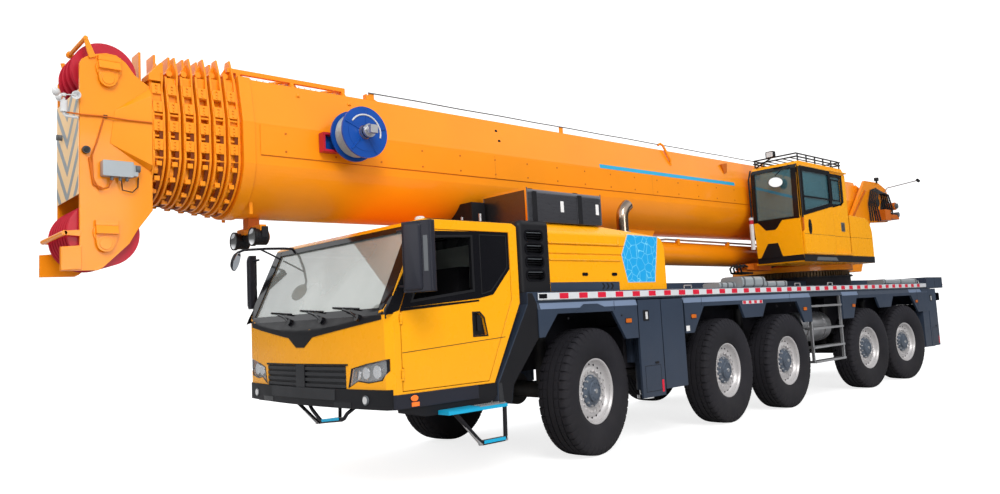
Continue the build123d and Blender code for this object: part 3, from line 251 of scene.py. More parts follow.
FINISHES = {           # colour, roughness, and what differs from finish_of's own values
    "cab_yellow": ((0.93, 0.385, 0.004), 0.28, dict(coat=0.35, vary=0.02, bump=0.003, grime=0.08,
                                                    soft_edge=0.012)),
    "yellow": ((0.9, 0.275, 0.003), 0.34, dict(coat=0.75, vary=0.04, bump=0.008, soft_edge=EDGE)),
    "slate": ((0.028, 0.042, 0.07), 0.42, dict(coat=0.15, vary=0.1, grime=0.15, soft_edge=EDGE)),
    # a lighter slate, used as a painted highlight on the skirts' sloped top edge
    "slate_painted_highlight": ((0.14, 0.19, 0.29), 0.36, dict(coat=0.3, vary=0.06, soft_edge=EDGE)),
    "frame_grey": ((0.01, 0.01, 0.016), 0.6, dict(vary=0.2, grime=0.2, soft_edge=EDGE)),
    "black": ((0.007, 0.007, 0.009), 0.45, dict(vary=0.2, grain=220, bump=0.03, soft_edge=EDGE)),
    "mirror_black": ((0.016, 0.017, 0.026), 0.35, dict(coat=0.3, vary=0.15, grain=220, soft_edge=0.022)),
    "gloss_black": ((0.005, 0.005, 0.007), 0.16, dict(coat=0.5, vary=0.1, bump=0.002)),
    "trim_grey": ((0.028, 0.029, 0.032), 0.5, dict(vary=0.15, grain=200, soft_edge=EDGE)),
    "tyre": ((0.013, 0.0125, 0.017), 0.78, dict(vary=0.22, grain=180, bump=0.05, grime=0.07)),
    "rim": ((0.56, 0.54, 0.54), 0.38, dict(metal=0.35, vary=0.07, scale=6, grime=0.1)),
    "hub": ((0.085, 0.11, 0.15), 0.42, dict(metal=0.3, vary=0.2, scale=9, grime=0.2)),
    "steel": ((0.5, 0.5, 0.51), 0.34, dict(metal=0.85, scale=4, soft_edge=0.003)),
    "brushed": ((0.135, 0.135, 0.15), 0.3, dict(metal=0.95, vary=0.06, scale=2, grain=40,
                                                stretch=(1, 30, 30), bump=0.006, soft_edge=0.012)),
    "chrome": ((0.86, 0.86, 0.87), 0.07, dict(metal=1.0, vary=0.03, bump=0.001, spread=0.03)),
    "warm_steel": ((0.36, 0.28, 0.22), 0.22, dict(metal=1.0, vary=0.15, scale=5)),
    "iron": ((0.02, 0.02, 0.022), 0.6, dict(metal=0.4, vary=0.3, scale=5, grime=0.3)),
    "gear_brown": ((0.1, 0.06, 0.022), 0.5, dict(metal=0.5, vary=0.3, scale=8)),
    "red": ((0.46, 0.012, 0.03), 0.36, dict(coat=0.2, vary=0.1, scale=5)),
    "blue": ((0.003, 0.062, 0.33), 0.3, dict(coat=0.4, scale=5)),
    "cyan": ((0.008, 0.36, 0.6), 0.35, dict(coat=0.2, vary=0.05)),
    "white": ((0.78, 0.77, 0.76), 0.4, dict(vary=0.04)),
    "tape_red": ((0.64, 0.012, 0.04), 0.32, dict(coat=0.3, vary=0.06, scale=9)),
    "tape_white": ((0.62, 0.63, 0.65), 0.32, dict(coat=0.3, vary=0.04, scale=9)),
    "panel_grey": ((0.11, 0.12, 0.13), 0.35, dict(coat=0.3, vary=0.05)),
    "box_grey": ((0.33, 0.36, 0.38), 0.4, dict(metal=0.3, vary=0.06, soft_edge=0.004)),
    "hose": ((0.014, 0.014, 0.016), 0.6, dict(vary=0.2, grain=300)),
    "pale": ((0.6, 0.6, 0.6), 0.3, dict(coat=0.3, vary=0.04, scale=8)),
    "sign_pale": ((0.82, 0.55, 0.29), 0.42, dict(vary=0.05)),
    # a dark reddish brown, used as painted shade in the slot beside each collar flange
    "painted_gap_shade": ((0.17, 0.03, 0.002), 0.6, dict(vary=0.2, scale=4)),
    "rust_orange": ((0.55, 0.12, 0.006), 0.45, dict(vary=0.15, scale=4, soft_edge=EDGE)),
    "seat": ((0.022, 0.022, 0.026), 0.8, dict(vary=0.2, grain=400, bump=0.08)),
    "mirror": ((0.75, 0.8, 0.85), 0.05, dict(metal=1.0, vary=0.02, bump=0.001, spread=0.02)),
    "engine_cast": ((0.36, 0.36, 0.37), 0.35, dict(metal=0.8, vary=0.15, scale=5, soft_edge=EDGE)),
}
M = {name: finish_of(name, colour, rough, **rest) for name, (colour, rough, rest) in FINISHES.items()}
M["cells"] = cells_of("cells", (0.003, 0.36, 0.76), (0.16, 0.62, 0.86), 0.105, 0.018)
M["tread_plate"] = plate_of("tread_plate", (0.4, 0.41, 0.43), 0.035)
M["amber"] = glow_of("amber", (0.95, 0.17, 0.006), 0.25)
M["red_lamp"] = glow_of("red_lamp", (0.6, 0.01, 0.02), 0.15)
M["glass"] = glass_of("glass", (0.52, 0.56, 0.53), 0.66, lens_below=1.4)
M["op_glass"] = glass_of("op_glass", (0.085, 0.23, 0.28), 0.7)


# The inside of the cab's shell in metres, under a windscreen that is bowed in plan and leans back.
NOSE_CURVE, NOSE_RAKE = 0.0588, 0.47
INNER_HALF, INNER_BACK, INNER_FLOOR, INNER_ROOF = 1.328, 4.128, 0.945, 2.405
INNER_NOSE, INNER_SCREEN = 5.735, 6.405


def line_inside(material, colour):
    """Give the faces that look into the driver's cab a lining colour; a place decides which they are."""
    tree = material.node_tree
    shader = tree.nodes["Principled BSDF"]
    place = node(tree, "NewGeometry").outputs["Position"]
    x, y, z = node(tree, "SeparateXYZ", {"Vector": place}).outputs

    def value(operation, *given):
        return node(tree, "Math", dict(enumerate(given)), operation=operation).outputs[0]

    bowed = value("MULTIPLY_ADD", value("MULTIPLY", y, y), NOSE_CURVE, x)
    leaning = value("MULTIPLY_ADD", z, NOSE_RAKE, x)
    inside = value("LESS_THAN", value("ABSOLUTE", y, 0), INNER_HALF)
    for test in (("LESS_THAN", z, INNER_ROOF), ("LESS_THAN", bowed, INNER_NOSE),
                 ("LESS_THAN", leaning, INNER_SCREEN), ("GREATER_THAN", x, INNER_BACK),
                 ("GREATER_THAN", z, INNER_FLOOR)):
        inside = value("MULTIPLY", inside, value(*test))
    paint = shader.inputs["Base Color"].links[0].from_socket
    set_inputs(tree, shader, {"Base Color": mix_colour(tree, inside, paint, colour)})


line_inside(M["cab_yellow"], (0.045, 0.048, 0.055))
NODES_IN = {           # which CAD nodes each finish covers
    "frame_grey": "chassis_frame", "iron": "axles winch_drum", "glass": "cab_glass",
    "cab_yellow": "cab_shell engine_hood operator_cab operator_door cab_door_left cab_door_right",
    "mirror_black": "cab_trim", "seat": "cab_interior", "engine_cast": "engine", "black": "air_intake",
    "brushed": "tank_box", "steel": "boarding_steps", "gear_brown": "slew_ring", "op_glass": "operator_glass",
    "yellow": "turntable boom_base boom_fittings luff_barrel", "chrome": "luff_rod",
    "red": "sheaves_upper sheaves_lower",
}
KINDS_IN = (("boom_section", "yellow"), ("wheel", "tyre"), ("knuckle", "iron"), ("outrigger_jack", "chrome"))
node_finish = {name: finish for finish, names in NODES_IN.items() for name in names.split()}
for name, cad in frame["nodes"].items():
    by_kind = [finish for start, finish in KINDS_IN if name.startswith(start)]
    kind = node_finish.get(name) or (by_kind + ["slate"])[0]
    for slot in cad.material_slots:
        slot.link = "OBJECT"
        slot.material = M[kind]
    for polygon in cad.data.polygons:
        polygon.use_smooth = False


# ------------------------------------------------------------------ mesh pieces
def line(*numbers):
    """The points of a flat outline, from one run of numbers."""
    return list(zip(numbers[::2], numbers[1::2]))


def path(*numbers):
    """Points in space, from one run of numbers."""
    return list(zip(numbers[::3], numbers[1::3], numbers[2::3]))


def across(start, end, steps):
    return [start + (end - start) * i / steps for i in range(steps + 1)]


def near(middle, reach):
    return middle - reach, middle + reach


def on_circle(angle, radius=1):
    """A point on a circle, by an angle in degrees."""
    return radius * math.cos(math.radians(angle)), radius * math.sin(math.radians(angle))


def oval(x, z, radius, sides, wide=1, high=1):
    """A circle about a middle, drawn out or pressed in along both ways."""
    turns = [on_circle(360 * i / sides, radius) for i in range(sides)]
    return [(x + a * wide, z + b * high) for a, b in turns]


def oblong(x, z):
    return line(x[0], z[0], x[0], z[1], x[1], z[1], x[1], z[0])


def rounded(x, z, radius, steps=4):
    """A rectangle with round corners."""
    low_x, high_x = sorted(x)
    low_z, high_z = sorted(z)
    corners = ((high_x - radius, high_z - radius, 0), (low_x + radius, high_z - radius, 90),
               (low_x + radius, low_z + radius, 180), (high_x - radius, low_z + radius, 270))
    turned = [(x, z, on_circle(start + 90 * s / steps, radius))
              for x, z, start in corners for s in range(steps + 1)]
    return [(x + a, z + b) for x, z, (a, b) in turned]


def spot(x, y, z, **turns):
    """A place in millimetres, with turns in degrees about the axes named."""
    place = Matrix.Translation((x * MM, y * MM, z * MM))
    for axis, angle in turns.items():
        place = place @ Matrix.Rotation(math.radians(angle), 4, axis)
    return place


AXES = {"x": lambda a, b, c: (c, a, b), "y": lambda a, b, c: (a, c, b), "z": lambda a, b, c: (a, b, c)}


class Form:
    """One visible piece: simple closed meshes, each in the finish that is current when it is added.

    With side at -1 all that is added is mirrored to the right of the crane.
    """

    def __init__(self, name, body, finish, place=None, side=1):
        self.name, self.body, self.side = name, body, side
        self.points, self.faces, self.kinds, self.finishes = [], [], [], []
        self.place = place or Matrix()
        self.use(finish)

    def use(self, finish):
        if finish not in self.finishes:
            self.finishes.append(finish)
        self.kind = self.finishes.index(finish)
        return self

    def both(self):
        """Go through the left and the right side."""
        for self.side in (1, -1):
            yield self.side
        self.side = 1

    def add(self, points, faces):
        start = len(self.points)
        for x, y, z in points:
            x, y, z = self.place @ Vector((x * MM, y * MM, z * MM))
            self.points.append((x, self.side * y, z))
        self.faces += [[start + i for i in face] for face in faces]
        self.kinds += [self.kind] * len(faces)

    def box(self, x, y, z):
        corners = [(a, b, c) for a in sorted(x) for b in sorted(y) for c in sorted(z)]
        self.add(corners, [(0, 1, 3, 2), (4, 6, 7, 5), (0, 4, 5, 1),
                           (2, 3, 7, 6), (0, 2, 6, 4), (1, 5, 7, 3)])

    def prism(self, outline, span, axis="y"):
        """A flat outline drawn through a span of one axis."""
        n = len(outline)
        points = [AXES[axis](a, b, c) for c in sorted(span) for a, b in outline]
        sides = [(i, (i + 1) % n, n + (i + 1) % n, n + i) for i in range(n)]
        self.add(points, [tuple(range(n)), tuple(range(n, 2 * n))] + sides)

    def pad(self, x, z, radius, span, axis="y", steps=4):
        """A plate with round corners."""
        self.prism(rounded(x, z, radius, steps), span, axis)

    def rim_of(self, outer, inner, span, axis="y"):
        """A flat frame between two outlines of as many points each."""
        n = len(outer)
        points = [AXES[axis](a, b, c) for c in sorted(span) for ring in (outer, inner) for a, b in ring]
        faces = []
        for i in range(n):
            j = (i + 1) % n
            faces += [(i, j, n + j, n + i), (2 * n + i, 2 * n + j, 3 * n + j, 3 * n + i),
                      (i, j, 2 * n + j, 2 * n + i), (n + i, n + j, 3 * n + j, 3 * n + i)]
        self.add(points, faces)

    def loft(self, rings, caps=True, closed=False):
        """A skin through rings of as many points each; closed joins the last ring to the first."""
        n, count = len(rings[0]), len(rings)
        spans = range(count if closed else count - 1)
        faces = [(k * n + i, k * n + (i + 1) % n, (k + 1) % count * n + (i + 1) % n, (k + 1) % count * n + i)
                 for k in spans for i in range(n)]
        if caps and not closed:
            faces += [tuple(range(n)), tuple(range((count - 1) * n, count * n))]
        self.add([p for ring in rings for p in ring], faces)

    def rod(self, start, end, radius, sides=16):
        start, end = Vector(start), Vector(end)
        turn = (end - start).to_track_quat("Z", "Y").to_matrix()
        self.loft([[at + turn @ Vector((a, b, 0)) for a, b in oval(0, 0, radius, sides)]
                   for at in (start, end)])

    def studs(self, count, ring, span, radius, sides=6, shift=0, axis="y"):
        """A ring of short rods about an axis."""
        for i in range(count):
            a, b = on_circle(360 * (i + shift) / count, ring)
            self.rod(AXES[axis](a, b, span[0]), AXES[axis](a, b, span[1]), radius, sides)

    def lathe(self, rows, sides=32, closed=False):
        """Rows of (place along Y, radius), turned about the Y axis."""
        self.loft([[(a, y, b) for a, b in oval(0, 0, r, sides)] for y, r in rows], closed=closed)

    def dish(self, wide, high, rows):
        """A mirror's oval form: rows of (place along Y, size)."""
        self.loft([[(a, y, b) for a, b in oval(0, 0, 88 * size, 28, wide, high)] for y, size in rows])

    def pipe(self, path, radius, sides=10):
        """A round bar or hose along a path of points."""
        path = [Vector(p) for p in path]
        rings, side = [], None
        for i, at in enumerate(path):
            ahead = (path[min(i + 1, len(path) - 1)] - path[max(i - 1, 0)]).normalized()
            side = side or (Vector((0, 0, 1)) if abs(ahead.z) < 0.9 else Vector((1, 0, 0)))
            side = (side - ahead * side.dot(ahead)).normalized()
            other = ahead.cross(side)
            rings.append([at + side * a + other * b for a, b in oval(0, 0, radius, sides)])
        self.loft(rings)

    def skin(self, rows, surface, lift, depth):
        """A thin panel on a surface: rows of (y, z) points, lifted off it and as thick as depth."""
        n, m = len(rows[0]), len(rows)
        points = [(surface(y, z) + lift - down, y, z) for down in (0, depth) for row in rows for y, z in row]
        faces = []
        for k in range(m - 1):
            for i in range(n - 1):
                cell = (k * n + i, k * n + i + 1, (k + 1) * n + i + 1, (k + 1) * n + i)
                faces += [cell, tuple(m * n + c for c in cell)]
        edge = list(range(n)) + [k * n + n - 1 for k in range(1, m)]
        edge += [(m - 1) * n + i for i in range(n - 2, -1, -1)] + [k * n for k in range(m - 2, 0, -1)]
        faces += [(a, b, m * n + b, m * n + a) for a, b in zip(edge, edge[1:] + edge[:1])]
        self.add(points, faces)

    def make(self, bevel=0, replaced=None):
        """Make the object, let it ride on its body and let it stand in for the CAD node it replaces."""
        mesh = bpy.data.meshes.new(self.name)
        mesh.from_pydata(self.points, [], self.faces)
        for kind in self.finishes:
            mesh.materials.append(M[kind])
        mesh.polygons.foreach_set("material_index", self.kinds)
        work = bmesh.new()
        work.from_mesh(mesh)
        bmesh.ops.recalc_face_normals(work, faces=work.faces)
        work.to_mesh(mesh)
        work.free()
        mesh.polygons.foreach_set("use_smooth", [True] * len(mesh.polygons))
        mesh.set_sharp_from_angle(angle=math.radians(34))
        made = bpy.data.objects.new(self.name, mesh)
        bpy.context.collection.objects.link(made)
        if bevel:
            softened = made.modifiers.new("softened", "BEVEL")
            softened.width = bevel * MM
            softened.segments = 1
            softened.limit_method = "ANGLE"
            softened.angle_limit = math.radians(50)
        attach(made, self.body)
        if replaced:
            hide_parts(replaced)


# ------------------------------------------------------------------ wheels
TYRE_ROWS = (          # distance from the middle plane, radius, how much of the shoulder cuts reaches it
    (112, 323, 0), (140, 352, 0), (172, 400, 0), (187, 460, 0), (190, 520, 0), (187, 575, 0),
    (181, 606, 0.2), (175, 632, 1), (166, 655, 1), (156, 668, 1), (140, 674.5, 1), (104, 678, 1),
    (102, 664, 0), (92, 664, 0), (90, 679, 0.35), (44, 680, 0.35), (42, 665, 0), (30, 665, 0), (28, 680, 0),
)
RIM_ROWS = line(       # distance from the middle plane, radius, of the rim's outer side
    112, 322, 124, 354, 136, 355, 139, 350, 136, 336, 122, 327, 95, 318, 70, 306,
    62, 296, 60, 280, 78, 262, 86, 232, 82, 206, 68, 198, 64, 196, 64, 130)
LUGS, CUT = 46, 14     # how many cuts run across each shoulder, and how deep they are


def tyre_on(form):
    """The tyre: ribbed tread and cuts across its shoulders, with every ring a cross-section."""
    section = [(-y, r, cut) for y, r, cut in TYRE_ROWS] + list(reversed(TYRE_ROWS))
    rings = []
    for lug in range(LUGS):
        for share, deep in ((0, 0), (0.74, 0), (0.78, 1), (0.96, 1)):
            a, b = on_circle(360 * (lug + share) / LUGS)
            rings.append([((r - CUT * cut * deep) * a, y, (r - CUT * cut * deep) * b)
                          for y, r, cut in section])
    form.loft(rings, closed=True)


def rim_on(form):
    """The rim with its ring of hand holes, the wheel nuts and the hub cap."""
    inner = [(-y, r) for y, r in RIM_ROWS[:6]]
    form.use("rim").lathe(RIM_ROWS[::-1] + [(0, 318)] + inner + line(-100, 300, -20, 270, 20, 120), 72)
    form.lathe(line(128, 0, 128, 60, 122, 104, 116, 110), 8)
    # The hand holes are black discs on the rim's face: painted shade of the openings.
    form.use("gloss_black").studs(20, 283, (55, 63.5), 14.5, 10)
    form.use("rim").studs(20, 219, (70, 98), 17)
    form.use("hub").lathe(line(60, 0, 60, 176, 82, 172, 92, 150, 100, 118, 124, 112, 130, 98, 130, 0), 40)
    form.use("steel").studs(12, 158, (75, 106), 12, shift=0.5)
    form.use("hub").studs(12, 86, (120, 137), 8, shift=0.5)
    form.use("steel").rod((0, 120, 0), (0, 142, 0), 26, 6)


for number in range(1, 6):
    for side, sign in SIDES:
        joint = joints[f"roll_{number}_{side}"]
        outward = Vector(joint["axis"]) * sign
        turned = Matrix((outward.cross(Vector((0, 0, 1))), outward, (0, 0, 1))).transposed().to_4x4()
        wheel = Form(f"road_wheel_{number}_{side}", f"wheel_{number}_{side}", "tyre",
                     Matrix.Translation(joint["pos_m"]) @ turned)
        tyre_on(wheel)
        rim_on(wheel)
        wheel.make(replaced=f"wheel_{number}_{side}")

# ------------------------------------------------------------------ driver's cab
NOSE = line(5765, 900, 5765, 1500, 5690, 1590, 5305, 2405, 5250, 2440, 5200, 2445)
NOSE_TIP, NOSE_BOW, NOSE_CORNER = 5765, 8500, 1300


def outline_x(outline, z):
    """How far forward an outline of (x, z) points stands at a height."""
    for (x0, z0), (x1, z1) in zip(outline, outline[1:]):
        if z <= z1:
            break
    return x0 + (x1 - x0) * max(0, min(1, (z - z0) / (z1 - z0)))


def nose_x(y, z):
    """How far forward the cab's skin stands at a place: its bowed plan cut by its side outline."""
    side = abs(y)
    plan = NOSE_TIP - 100 - (side - NOSE_CORNER) * 0.923
    if side <= NOSE_CORNER:
        plan = NOSE_TIP - NOSE_BOW + math.sqrt(NOSE_BOW ** 2 - side ** 2)
    return min(plan, outline_x(NOSE, z))


def band(form, y, z, lift, depth, n, rows, surface=nose_x):
    """A level panel on a surface between two values of Y and of Z."""
    form.skin([[(a, b) for a in across(*y, n)] for b in across(*z, rows)], surface, lift, depth)


cab = Form("cab_front_trim", "chassis", "gloss_black")
for _ in cab.both():
    band(cab, (1222, 1362), (1600, 2395), 4, 12, 6, 14)
    cab.prism(line(5550, 1630, 5692, 1590, 5655, 1672, 5262, 2352, 5236, 2352), (1362, 1368.5))
band(cab, (-1240, 1240), (1592, 1660), 4, 12, 24, 3)
band(cab, (-1240, 1240), (2340, 2395), 4, 12, 24, 1)
cowl = []
for y in across(-1318, 1318, 34):
    far = abs(y)
    foot = 1335 if far < 110 else 1225 + far if far < 200 else 1400 + far * 0.125
    cowl.append([(y, foot + (1598 - foot) * t) for t in (0, 0.2, 0.4, 0.5, 0.6, 0.65, 0.8, 1)])
cab.use("black").skin(cowl, nose_x, 6, 12)
band(cab.use("trim_grey"), (-770, 770), (958, 1168), -15, 4, 24, 1)
for low in (968, 1020, 1072, 1124):
    band(cab, (-768, 768), (low, low + 30), 4, 10, 24, 1)
band(cab.use("gloss_black"), (-85, 85), (955, 1172), 10, 20, 4, 1)
band(cab.use("black"), (-800, 800), (1166, 1182), 6, 12, 24, 1)
band(cab, (-1345, 1345), (795, 962), 18, 40, 40, 2)
band(cab.use("trim_grey"), (-620, 620), (860, 955), 26, 12, 16, 1)
lamp_x = nose_x(1060, 870) + 16
for _ in cab.both():
    band(cab.use("gloss_black"), (600, 860), (800, 845), 21, 6, 6, 1)
    cab.use("panel_grey").rod((lamp_x - 20, 1060, 872), (lamp_x + 12, 1060, 872), 42, 18)
    cab.use("pale").rod((lamp_x + 10, 1060, 872), (lamp_x + 16, 1060, 872), 32, 18)
cab.use("gloss_black")
for pivot, tip in ((-290, -860), (345, -220), (980, 420)):
    foot = nose_x(pivot, 1575)
    cab.rod((foot - 10, pivot, 1575), (foot + 35, pivot, 1590), 32, 14)
    arm = [(pivot + (tip - pivot) * t, z, lift)
           for t, z, lift in ((0, 1585, 35), (0.25, 1640, 45), (0.55, 1668, 34))]
    cab.pipe([(nose_x(y, z) + lift, y, z) for y, z, lift in arm], 11)
    blade = enumerate(across(pivot - 50, tip - 20, 5))
    cab.pipe([(nose_x(y, 1665 + 20 * i) + 20, y, 1665 + 6 * i) for i, y in blade], 10, 6)
cab.make()

LAMP = line(800, 968, 850, 1140, 1060, 1182, 1330, 1222, 1330, 1120, 1262, 1040, 1085, 1016, 940, 1030)
lamps = Form("headlamp_units", "chassis", "chrome")
for _ in lamps.both():
    inner = [(1060 + (y - 1060) * 0.93, 1095 + (z - 1095) * 0.9) for y, z in LAMP]
    lamps.use("panel_grey").prism(LAMP, (5561, 5566), "x")
    lamps.use("gloss_black").skin([LAMP + LAMP[:1], inner + inner[:1]], nose_x, 3, 10)
    for y, z, radius in ((900, 1085, 46), (1020, 1100, 56), (1165, 1110, 62)):
        lamps.place = spot(min(5640, nose_x(y, z) - 70), y, z, Z=-90)
        lamps.use("chrome").lathe(line(0, 0, 2, 20, 14, radius * 0.6, 44, radius, 48, radius - 4), 28)
        lamps.use("pale").lathe(line(0, 0, 22, 1, 24, 22, 4, 23), 18)
    lamps.place = Matrix()
    lamps.use("amber").prism(line(1255, 1150, 1322, 1160, 1322, 1212, 1255, 1200), (5575, 5590), "x")
lamps.make()

for side, sign in SIDES:
    door = Form(f"cab_door_trim_{side}", f"cab_door_{side}", "gloss_black", side=sign)
    pane = line(5430, 1690, 5215, 2290, 4690, 2310, 4690, 1775)
    door.rim_of(line(5518, 1648, 5232, 2330, 4640, 2345, 4640, 1712), pane, (1363, 1369))
    door.prism(line(4640, 1712, 4640, 2345, 4232, 2345, 4232, 1990, 4460, 1745), (1363, 1369))
    inner = line(5400, 1716, 5200, 2268, 4714, 2288, 4714, 1796)
    door.use("black").rim_of(pane, inner, (1335, 1372))
    door.rim_of(line(4610, 1745, 4610, 2318, 4262, 2318, 4262, 2000, 4478, 1775),
                line(4600, 1758, 4600, 2308, 4272, 2308, 4272, 2006, 4484, 1788), (1363, 1373))
    if side == "right":
        door.use("glass").prism(inner, (1340, 1345))
    door.use("black").prism(line(5530, 1262, 5530, 1268, 4330, 1338, 4330, 1332), (1363, 1366.2))
    handle = line(4560, 1370, 4593, 1525, 4643, 1575, 4720, 1575, 4720, 1370)
    door.prism(handle, (1332, 1336.5))
    door.rim_of(line(4545, 1355, 4582, 1534, 4638, 1590, 4735, 1590, 4735, 1355), handle, (1363, 1368))
    door.pad((4625, 4672), (1405, 1555), 12, (1330, 1360.5))
    door.use("gloss_black").prism(line(5536, 1620, 5536, 1636, 5238, 2346, 5226, 2346, 5226, 2330, 5518, 1648,
                                       4640, 1700, 4640, 1684), (1363, 1368))
    door.make()

for side, sign in SIDES:
    flank = Form(f"cab_flank_trim_{side}", "chassis", "amber", side=sign)
    flank.prism(oval(5425, 872, 26, 24, 1.5), (1362, 1374))
    flank.pad((5375, 5455), (802, 838), 4, (1362, 1372))
    flank.use("gloss_black").prism(oval(5425, 872, 31, 24, 1.6), (1360, 1368))
    guard = line(3875, 1640, 3935, 1750, 4000, 1750, 4000, 1640, 4448, 885, 4448, 705, 4290, 705,
                 4250, 870, 3875, 1300)
    flank.use("black").prism(guard, (1359.5, 1364))
    flank.prism(line(4460, 914, 5600, 914, 5570, 760, 5300, 700, 4600, 700, 4460, 800), (1325, 1352))
    flank.use("trim_grey").prism(line(4405, 905, 4448, 905, 4448, 715, 4385, 715), (1363, 1366.5))
    flank.make(bevel=2)

    step = Form(f"cab_step_{side}", "chassis", "steel", side=sign)
    step.pad((4475, 4800), (1285, 1495), 6, (730.5, 734.5), "z")
    for i in range(13):
        for y in (1308, 1396, 1484):
            step.box(near(4492 + 24 * i, 6), near(y, 4), (734.5, 742))
    step.use("gloss_black")
    for x in across(4500, 4772, 8):
        for y in (1336, 1382, 1428):
            step.rod((x, y, 734), (x, y, 735.5), 11, 8)
    step.use("cyan").pad((4800, 5162), (1285, 1496), 6, (730.5, 737.5), "z")
    step.pad((4470, 5165), (1486, 1503), 3, (700, 730), "z")
    step.box((5148, 5165.5), (1285, 1500), (700, 736.5))
    loop = line(4490, 715, 4498, 440, 4504, 415, 4520, 405, 4778, 405, 4800, 418, 4835, 450, 5090, 715)
    step.use("black").pipe([(x, 1480, z) for x, z in loop], 20.5, 14)
    step.use("steel").pad((4520, 4780), (1450, 1508), 6, (423.5, 429.5), "z")
    step.use("cyan").box((4520, 4780), (1502.5, 1509), (402, 430))
    step.make()

    mirror = Form(f"mirror_detail_{side}", "chassis", "pale", spot(5500, 1620, 2070, Z=20), sign)
    mirror.use("panel_grey").box((40.2, 44), (75, 118), (-130, 170))
    mirror.use("mirror")
    for z in ((-50, 270), (-270, -75)):
        mirror.pad((-125, 125), z, 30, (-43.5, -40.2), "x")
    # The shell lies the same way round on both sides, so its Y takes the side's sign once more.
    shell = ((39.5, 0), (46, 6), (50, 22))
    mirror.use("mirror_black").loft([[(x, sign * y, z)
                                      for y, z in rounded((-138 + d, 60 - d), (d - 288, 288 - d), 30)]
                                     for x, d in shell])
    mirror.make(bevel=2)

front_mirror = Form("front_mirror", "chassis", "mirror_black")
front_mirror.pipe(path(5300, -980, 2400, 5400, -1020, 2408, 5560, -1120, 2412, 5740, -1280, 2410,
                       5790, -1335, 2385), 14)
front_mirror.pipe(path(5360, -1180, 2300, 5470, -1185, 2355, 5600, -1160, 2405), 10)
front_mirror.place = spot(5800, -1350, 2290, Z=38, X=-18)
front_mirror.dish(0.75, 1.25, ((-45, 0.35), (-36, 0.75), (-12, 0.98), (6, 1)))
front_mirror.use("mirror").dish(0.75, 1.25, ((5.5, 0.94), (8.5, 0.92)))
front_mirror.make()

roof = Form("cab_roof_items", "chassis", "pale", spot(5060, 1060, 2440, X=90))
roof.lathe(line(0, 62, 20, 62, 22, 52, 50, 50, 66, 36, 72, 0), 28)
roof.place = Matrix()
roof.use("black")
for _ in roof.both():
    roof.prism(line(4200, 2439.5, 4200, 2448, 5220, 2448, 5230, 2439.5), (1338, 1352))
roof.use("steel")
for y in (500, 800):
    roof.rod((4085, y, 1880), (4085, y, 2620), 16)
roof.make()

front_step = Form("front_step", "chassis", "black")
front_step.pipe(path(5660, 60, 800, 5720, 77, 782, 5735, 150, 748, 5745, 300, 672, 5745, 350, 653,
                     5745, 700, 690, 5745, 737, 702, 5730, 765, 745, 5660, 776, 790), 17, 14)
front_step.use("steel").prism(line(390, 673, 690, 706, 690, 712, 390, 679), (5715, 5775), "x")
front_step.use("cyan").prism(line(390, 655, 690, 688, 690, 713, 390, 680), (5770, 5777), "x")
front_step.make()

# ------------------------------------------------------------------ hood, intake, tank, exhaust
for side, sign in SIDES:
    hood = Form(f"hood_marks_{side}", "chassis", "cells", side=sign)
    cell_panel = line(2269, 2402, 1700, 2392, 1797, 1853, 2307, 1852, 2396, 2164)
    hood.prism(cell_panel, (1298, 1302.5))
    grown = line(2276, 2409, 1692, 2399, 1790, 1846, 2313, 1845, 2404, 2164)
    hood.use("pale").rim_of(grown, cell_panel, (1298, 1303))
    hood.use("slate").box((2470, 3598), (1298, 1301.5), (1762, 1858))
    hood.use("black")
    for x in (2600, 2675, 2750):
        hood.prism(line(x, 1775, x + 30, 1775, x, 1810, x + 30, 1845, x, 1845, x - 30, 1810), (1301, 1302.8))
    hood.use("cab_yellow")
    for low, high, end in ((2262, 2290, 2440), (2084, 2108, 2420)):
        third = (high - low) / 3
        hood.loft([path(x, 1298.5, low, x, 1298.5 + out, low + third, x, 1298.5 + out, high - third,
                        x, 1298.5, high) for x, out in ((end, 1), (end + 30, 14), (3596, 14))])
    hood.loft([path(x, 1298.5, z, x + 8, 1310.5, z, x + 20, 1310.5, z, x + 30, 1298.5, z)
               for x, z in ((2440, 2285), (2425, 2360))])
    hood.use("gloss_black")
    for x in (3050, 2550):
        hood.pad(near(x, 45), (1925, 1960), 12, (1298, 1306))
    hood.make()

    louvres = Form(f"intake_louvres_{side}", "chassis", "black", side=sign)
    for row in range(4):
        low = 2285 - row * 135
        outer = rounded((3672, 3943), (low - 10, low + 115), 52, 6)
        inner = rounded((3690, 3925), (low + 6, low + 99), 45, 6)
        louvres.use("gloss_black").rim_of(outer, inner, (1297, 1306))
        louvres.use("panel_grey").pad((3700, 3915), (low + 82, low + 88), 2, (1260, 1299))
        louvres.use("black")
        for z in (low + 22, low + 46, low + 70):
            louvres.prism(line(1255, z, 1288, z + 12, 1290, z + 15, 1255, z + 5), (3690, 3925), "x")
    louvres.make()

tank = Form("tank_trim", "chassis", "chrome")
for x in (2645, 3815):
    tank.rim_of(oblong((535, 1240), (2506, 2856)), line(560, 2506, 560, 2830, 1212, 2830, 1212, 2506),
                (x - 12, x + 4), "x")
tank.use("black")
for x in (2996, 3705):
    tank.box(near(x, 34), (1240.5, 1244), (2503, 2822))
    tank.box(near(x, 34), (590, 1186), (2855.5, 2859))
tank.use("white")
for x in (3280, 2700):
    tank.pad(near(x, 25), (2620, 2740), 4, (1234.5, 1236.5))
tank.use("steel").rod((3250, 880, 2850), (3250, 880, 2885), 55, 24)
tank.make()

